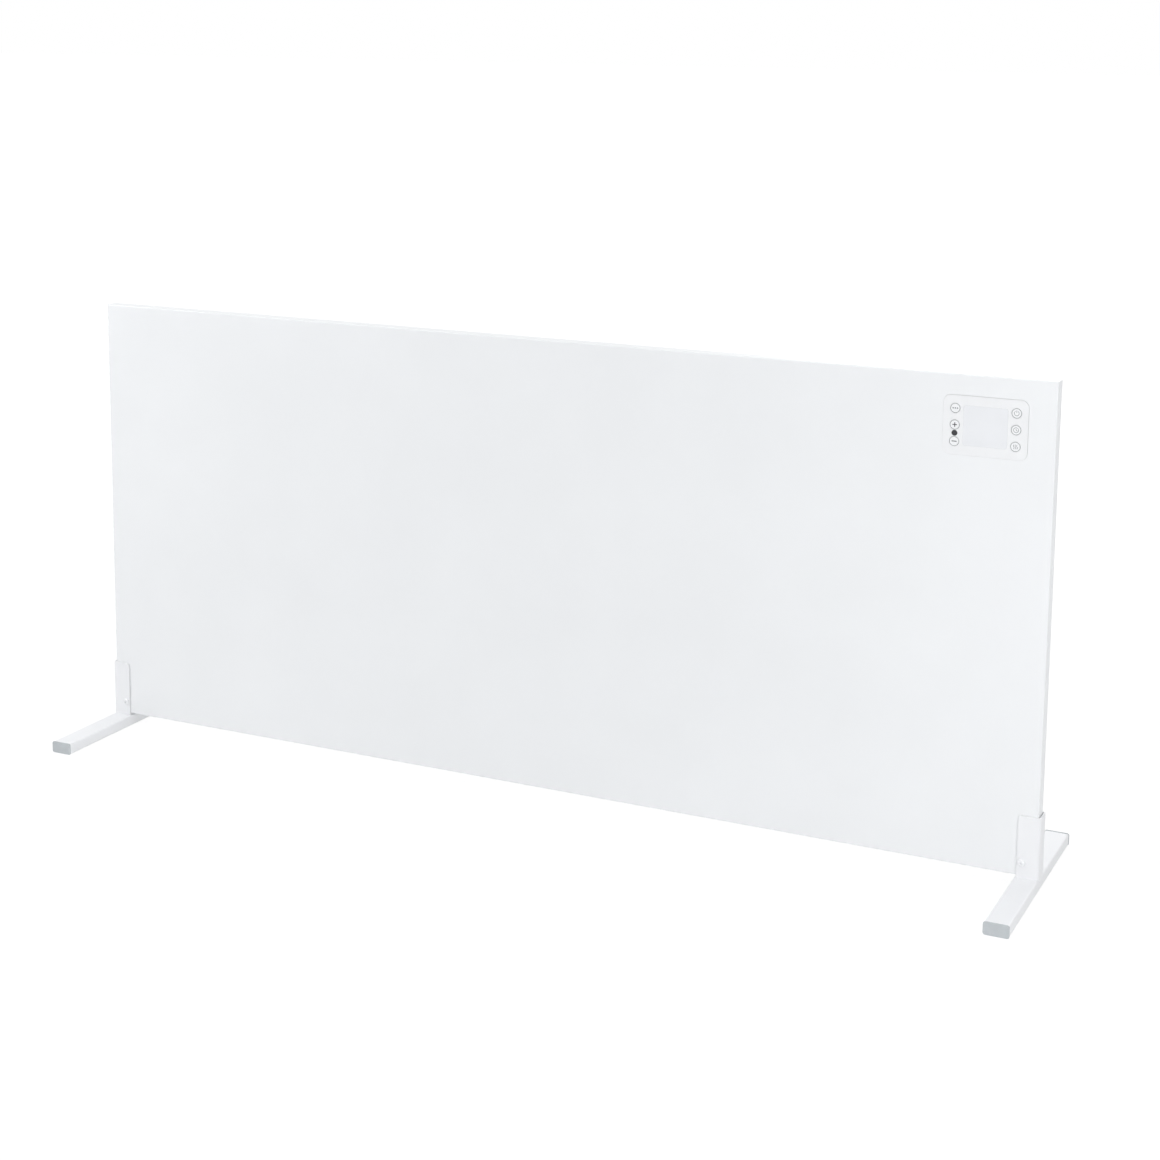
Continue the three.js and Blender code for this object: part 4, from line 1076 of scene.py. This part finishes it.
class HEATER_OT_rear_fittings(bpy.types.Operator):
    """Finish the mains switch, print its on and off marks, and turn the cable gland"""

    bl_idname = "heater.rear_fittings"
    bl_label = "Switch and gland"

    mark_rise = 4 * MM
    mark_radius = 1.3 * MM
    mark_height = 2.8 * MM

    # A face is on the rocker's outside where its normal points to the rear by more than this
    outside = 0.9

    # The gland's radii, and the heights of its parts along Y, from its base on the cover to its mouth
    gland_bore = 3.75 * MM
    gland_stem = 6 * MM
    gland_edge = 0.3 * MM
    gland_base = {"radius": 8.6 * MM, "face": 7.9 * MM, "height": 3.5 * MM}
    gland_dome = {"radius": 7.2 * MM, "height": 3.5 * MM, "grip": 0.35 * MM, "ridges": 24}
    gland_shoulder = {"radius": 6.2 * MM, "height": 3.5 * MM}
    gland_mouth = {"radius": 5.2 * MM, "height": 2.5 * MM}

    def execute(self, context):
        edges = context.scene.heater_edges
        finish_nodes(["rocker_frame", "rocker"], edges.moulding)
        finish_nodes(["gland_nut"], edges.fine)
        self.print_marks(context.scene.heater_print)
        self.turn_gland()
        return {"FINISHED"}

    def print_marks(self, look):
        """Prints a ring and a bar above and below the middle of the rocker's sloping face."""
        faces = [face for face in NODES["rocker"].data.polygons if face.normal.y > self.outside]
        one, other = sorted(faces, key=lambda face: face.area)[-2:]
        middle = (one.center + other.center) / 2
        slope = math.atan2(one.normal.z, one.normal.y)
        line = [bar_outline(look.line_width / 2, self.mark_height / 2)]
        ring = [circle(self.mark_radius), circle(self.mark_radius - look.line_width)]
        for name, (outline, *holes), side in (("off", ring, 1), ("on", line, -1)):
            form = bmesh.new()
            add_slab(form, outline, -look.proud, look.proud, holes)
            mark = new_piece(f"mark_{name}", form, ink("white_ink", look.white))
            along_face = Matrix.Translation((0, 0, side * self.mark_rise))
            mark.matrix_world = Matrix.Translation(middle) @ Matrix.Rotation(slope, 4, "X") @ along_face
            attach(mark, BODY_OF["rocker"])

    def turn_gland(self):
        """A hexagon on the cover and a ridged dome with an open mouth, turned round a bore."""
        low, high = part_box("cable_gland")
        base, dome = self.gland_base, self.gland_dome
        shoulder, mouth = self.gland_shoulder, self.gland_mouth
        edge, stem, bore = self.gland_edge, circle(self.gland_stem), circle(self.gland_bore)
        lip = high.y - mouth["height"]
        slope = lip - shoulder["height"]
        grip = slope - dome["height"]
        seat = grip - base["height"]
        flats, full = hexagon(base["radius"], base["face"]), hexagon(base["radius"])
        plain = circle(dome["radius"] - dome["grip"])
        ridges = ridged(dome["radius"], dome["grip"], dome["ridges"])
        loops = [(low.y, circle(self.gland_stem - edge)), (low.y + edge, stem), (seat, stem)]
        loops += [(seat, flats), (seat + edge, full), (grip - edge, full), (grip, flats)]
        loops += [(grip, plain), (grip + edge, ridges), (slope - edge, ridges), (slope, plain)]
        loops += [(lip, circle(shoulder["radius"])), (high.y - edge, circle(mouth["radius"]))]
        loops += [(high.y, circle(mouth["radius"] - edge)), (high.y, circle(self.gland_bore + edge))]
        loops += [(high.y - edge, bore), (low.y, bore)]
        turn_piece("cable_gland", loops, hollow=True)


class HEATER_OT_heating(bpy.types.Operator):
    """Finish the heating mat, its blanket, cut-outs and leads inside the case"""

    bl_idname = "heater.heating"
    bl_label = "Heating"

    def execute(self, context):
        finish_nodes(["heating_mat", "insulation_blanket"])
        for stem in ("thermal_cutout", "heater_lead"):
            finish_nodes(with_ends(stem, ("upper", "lower")))
        return {"FINISHED"}


class HEATER_OT_electronics(bpy.types.Operator):
    """Finish the electronics tray and what it holds"""

    bl_idname = "heater.electronics"
    bl_label = "Electronics"

    def execute(self, context):
        finish_nodes(["electronics_tray", "power_board", "power_relay", "terminal_block"])
        finish_nodes(["tilt_switch", "room_sensor", "control_ribbon"])
        return {"FINISHED"}


class HEATER_PT_panel(bpy.types.Panel):
    """The heater's settings and its steps, in order"""

    bl_idname = "HEATER_PT_panel"
    bl_label = "Infrared heating panel"
    bl_space_type = "VIEW_3D"
    bl_region_type = "UI"
    bl_category = "Panel heater"

    def draw(self, context):
        layout = self.layout
        for settings in SETTINGS:
            group = getattr(context.scene, settings)
            box = layout.box()
            box.label(text=group.rna_type.description)
            for key in group.rna_type.properties.keys():
                if key not in ("rna_type", "name"):
                    box.prop(group, key)
        for step in STEPS:
            layout.operator(step.bl_idname)


SETTINGS = {
    "heater_paint": HeaterPaint,
    "heater_edges": HeaterEdges,
    "heater_controls": HeaterControls,
    "heater_print": HeaterPrint,
    "heater_studio": HeaterStudio,
}

STEPS = (
    HEATER_OT_camera,
    HEATER_OT_studio,
    HEATER_OT_case,
    HEATER_OT_feet,
    HEATER_OT_fasteners,
    HEATER_OT_controls,
    HEATER_OT_keys,
    HEATER_OT_rear_fittings,
    HEATER_OT_heating,
    HEATER_OT_electronics,
)

CLASSES = (*SETTINGS.values(), *STEPS, HEATER_PT_panel)


def register():
    for item in CLASSES:
        bpy.utils.register_class(item)
    for name, group in SETTINGS.items():
        setattr(bpy.types.Scene, name, bpy.props.PointerProperty(type=group))


def unregister():
    for name in SETTINGS:
        delattr(bpy.types.Scene, name)
    for item in reversed(CLASSES):
        bpy.utils.unregister_class(item)


def main():
    """Registers the add-on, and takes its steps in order."""
    register()
    for step in STEPS:
        family, name = step.bl_idname.split(".")
        getattr(getattr(bpy.ops, family), name)()


if __name__ == "__main__":
    main()
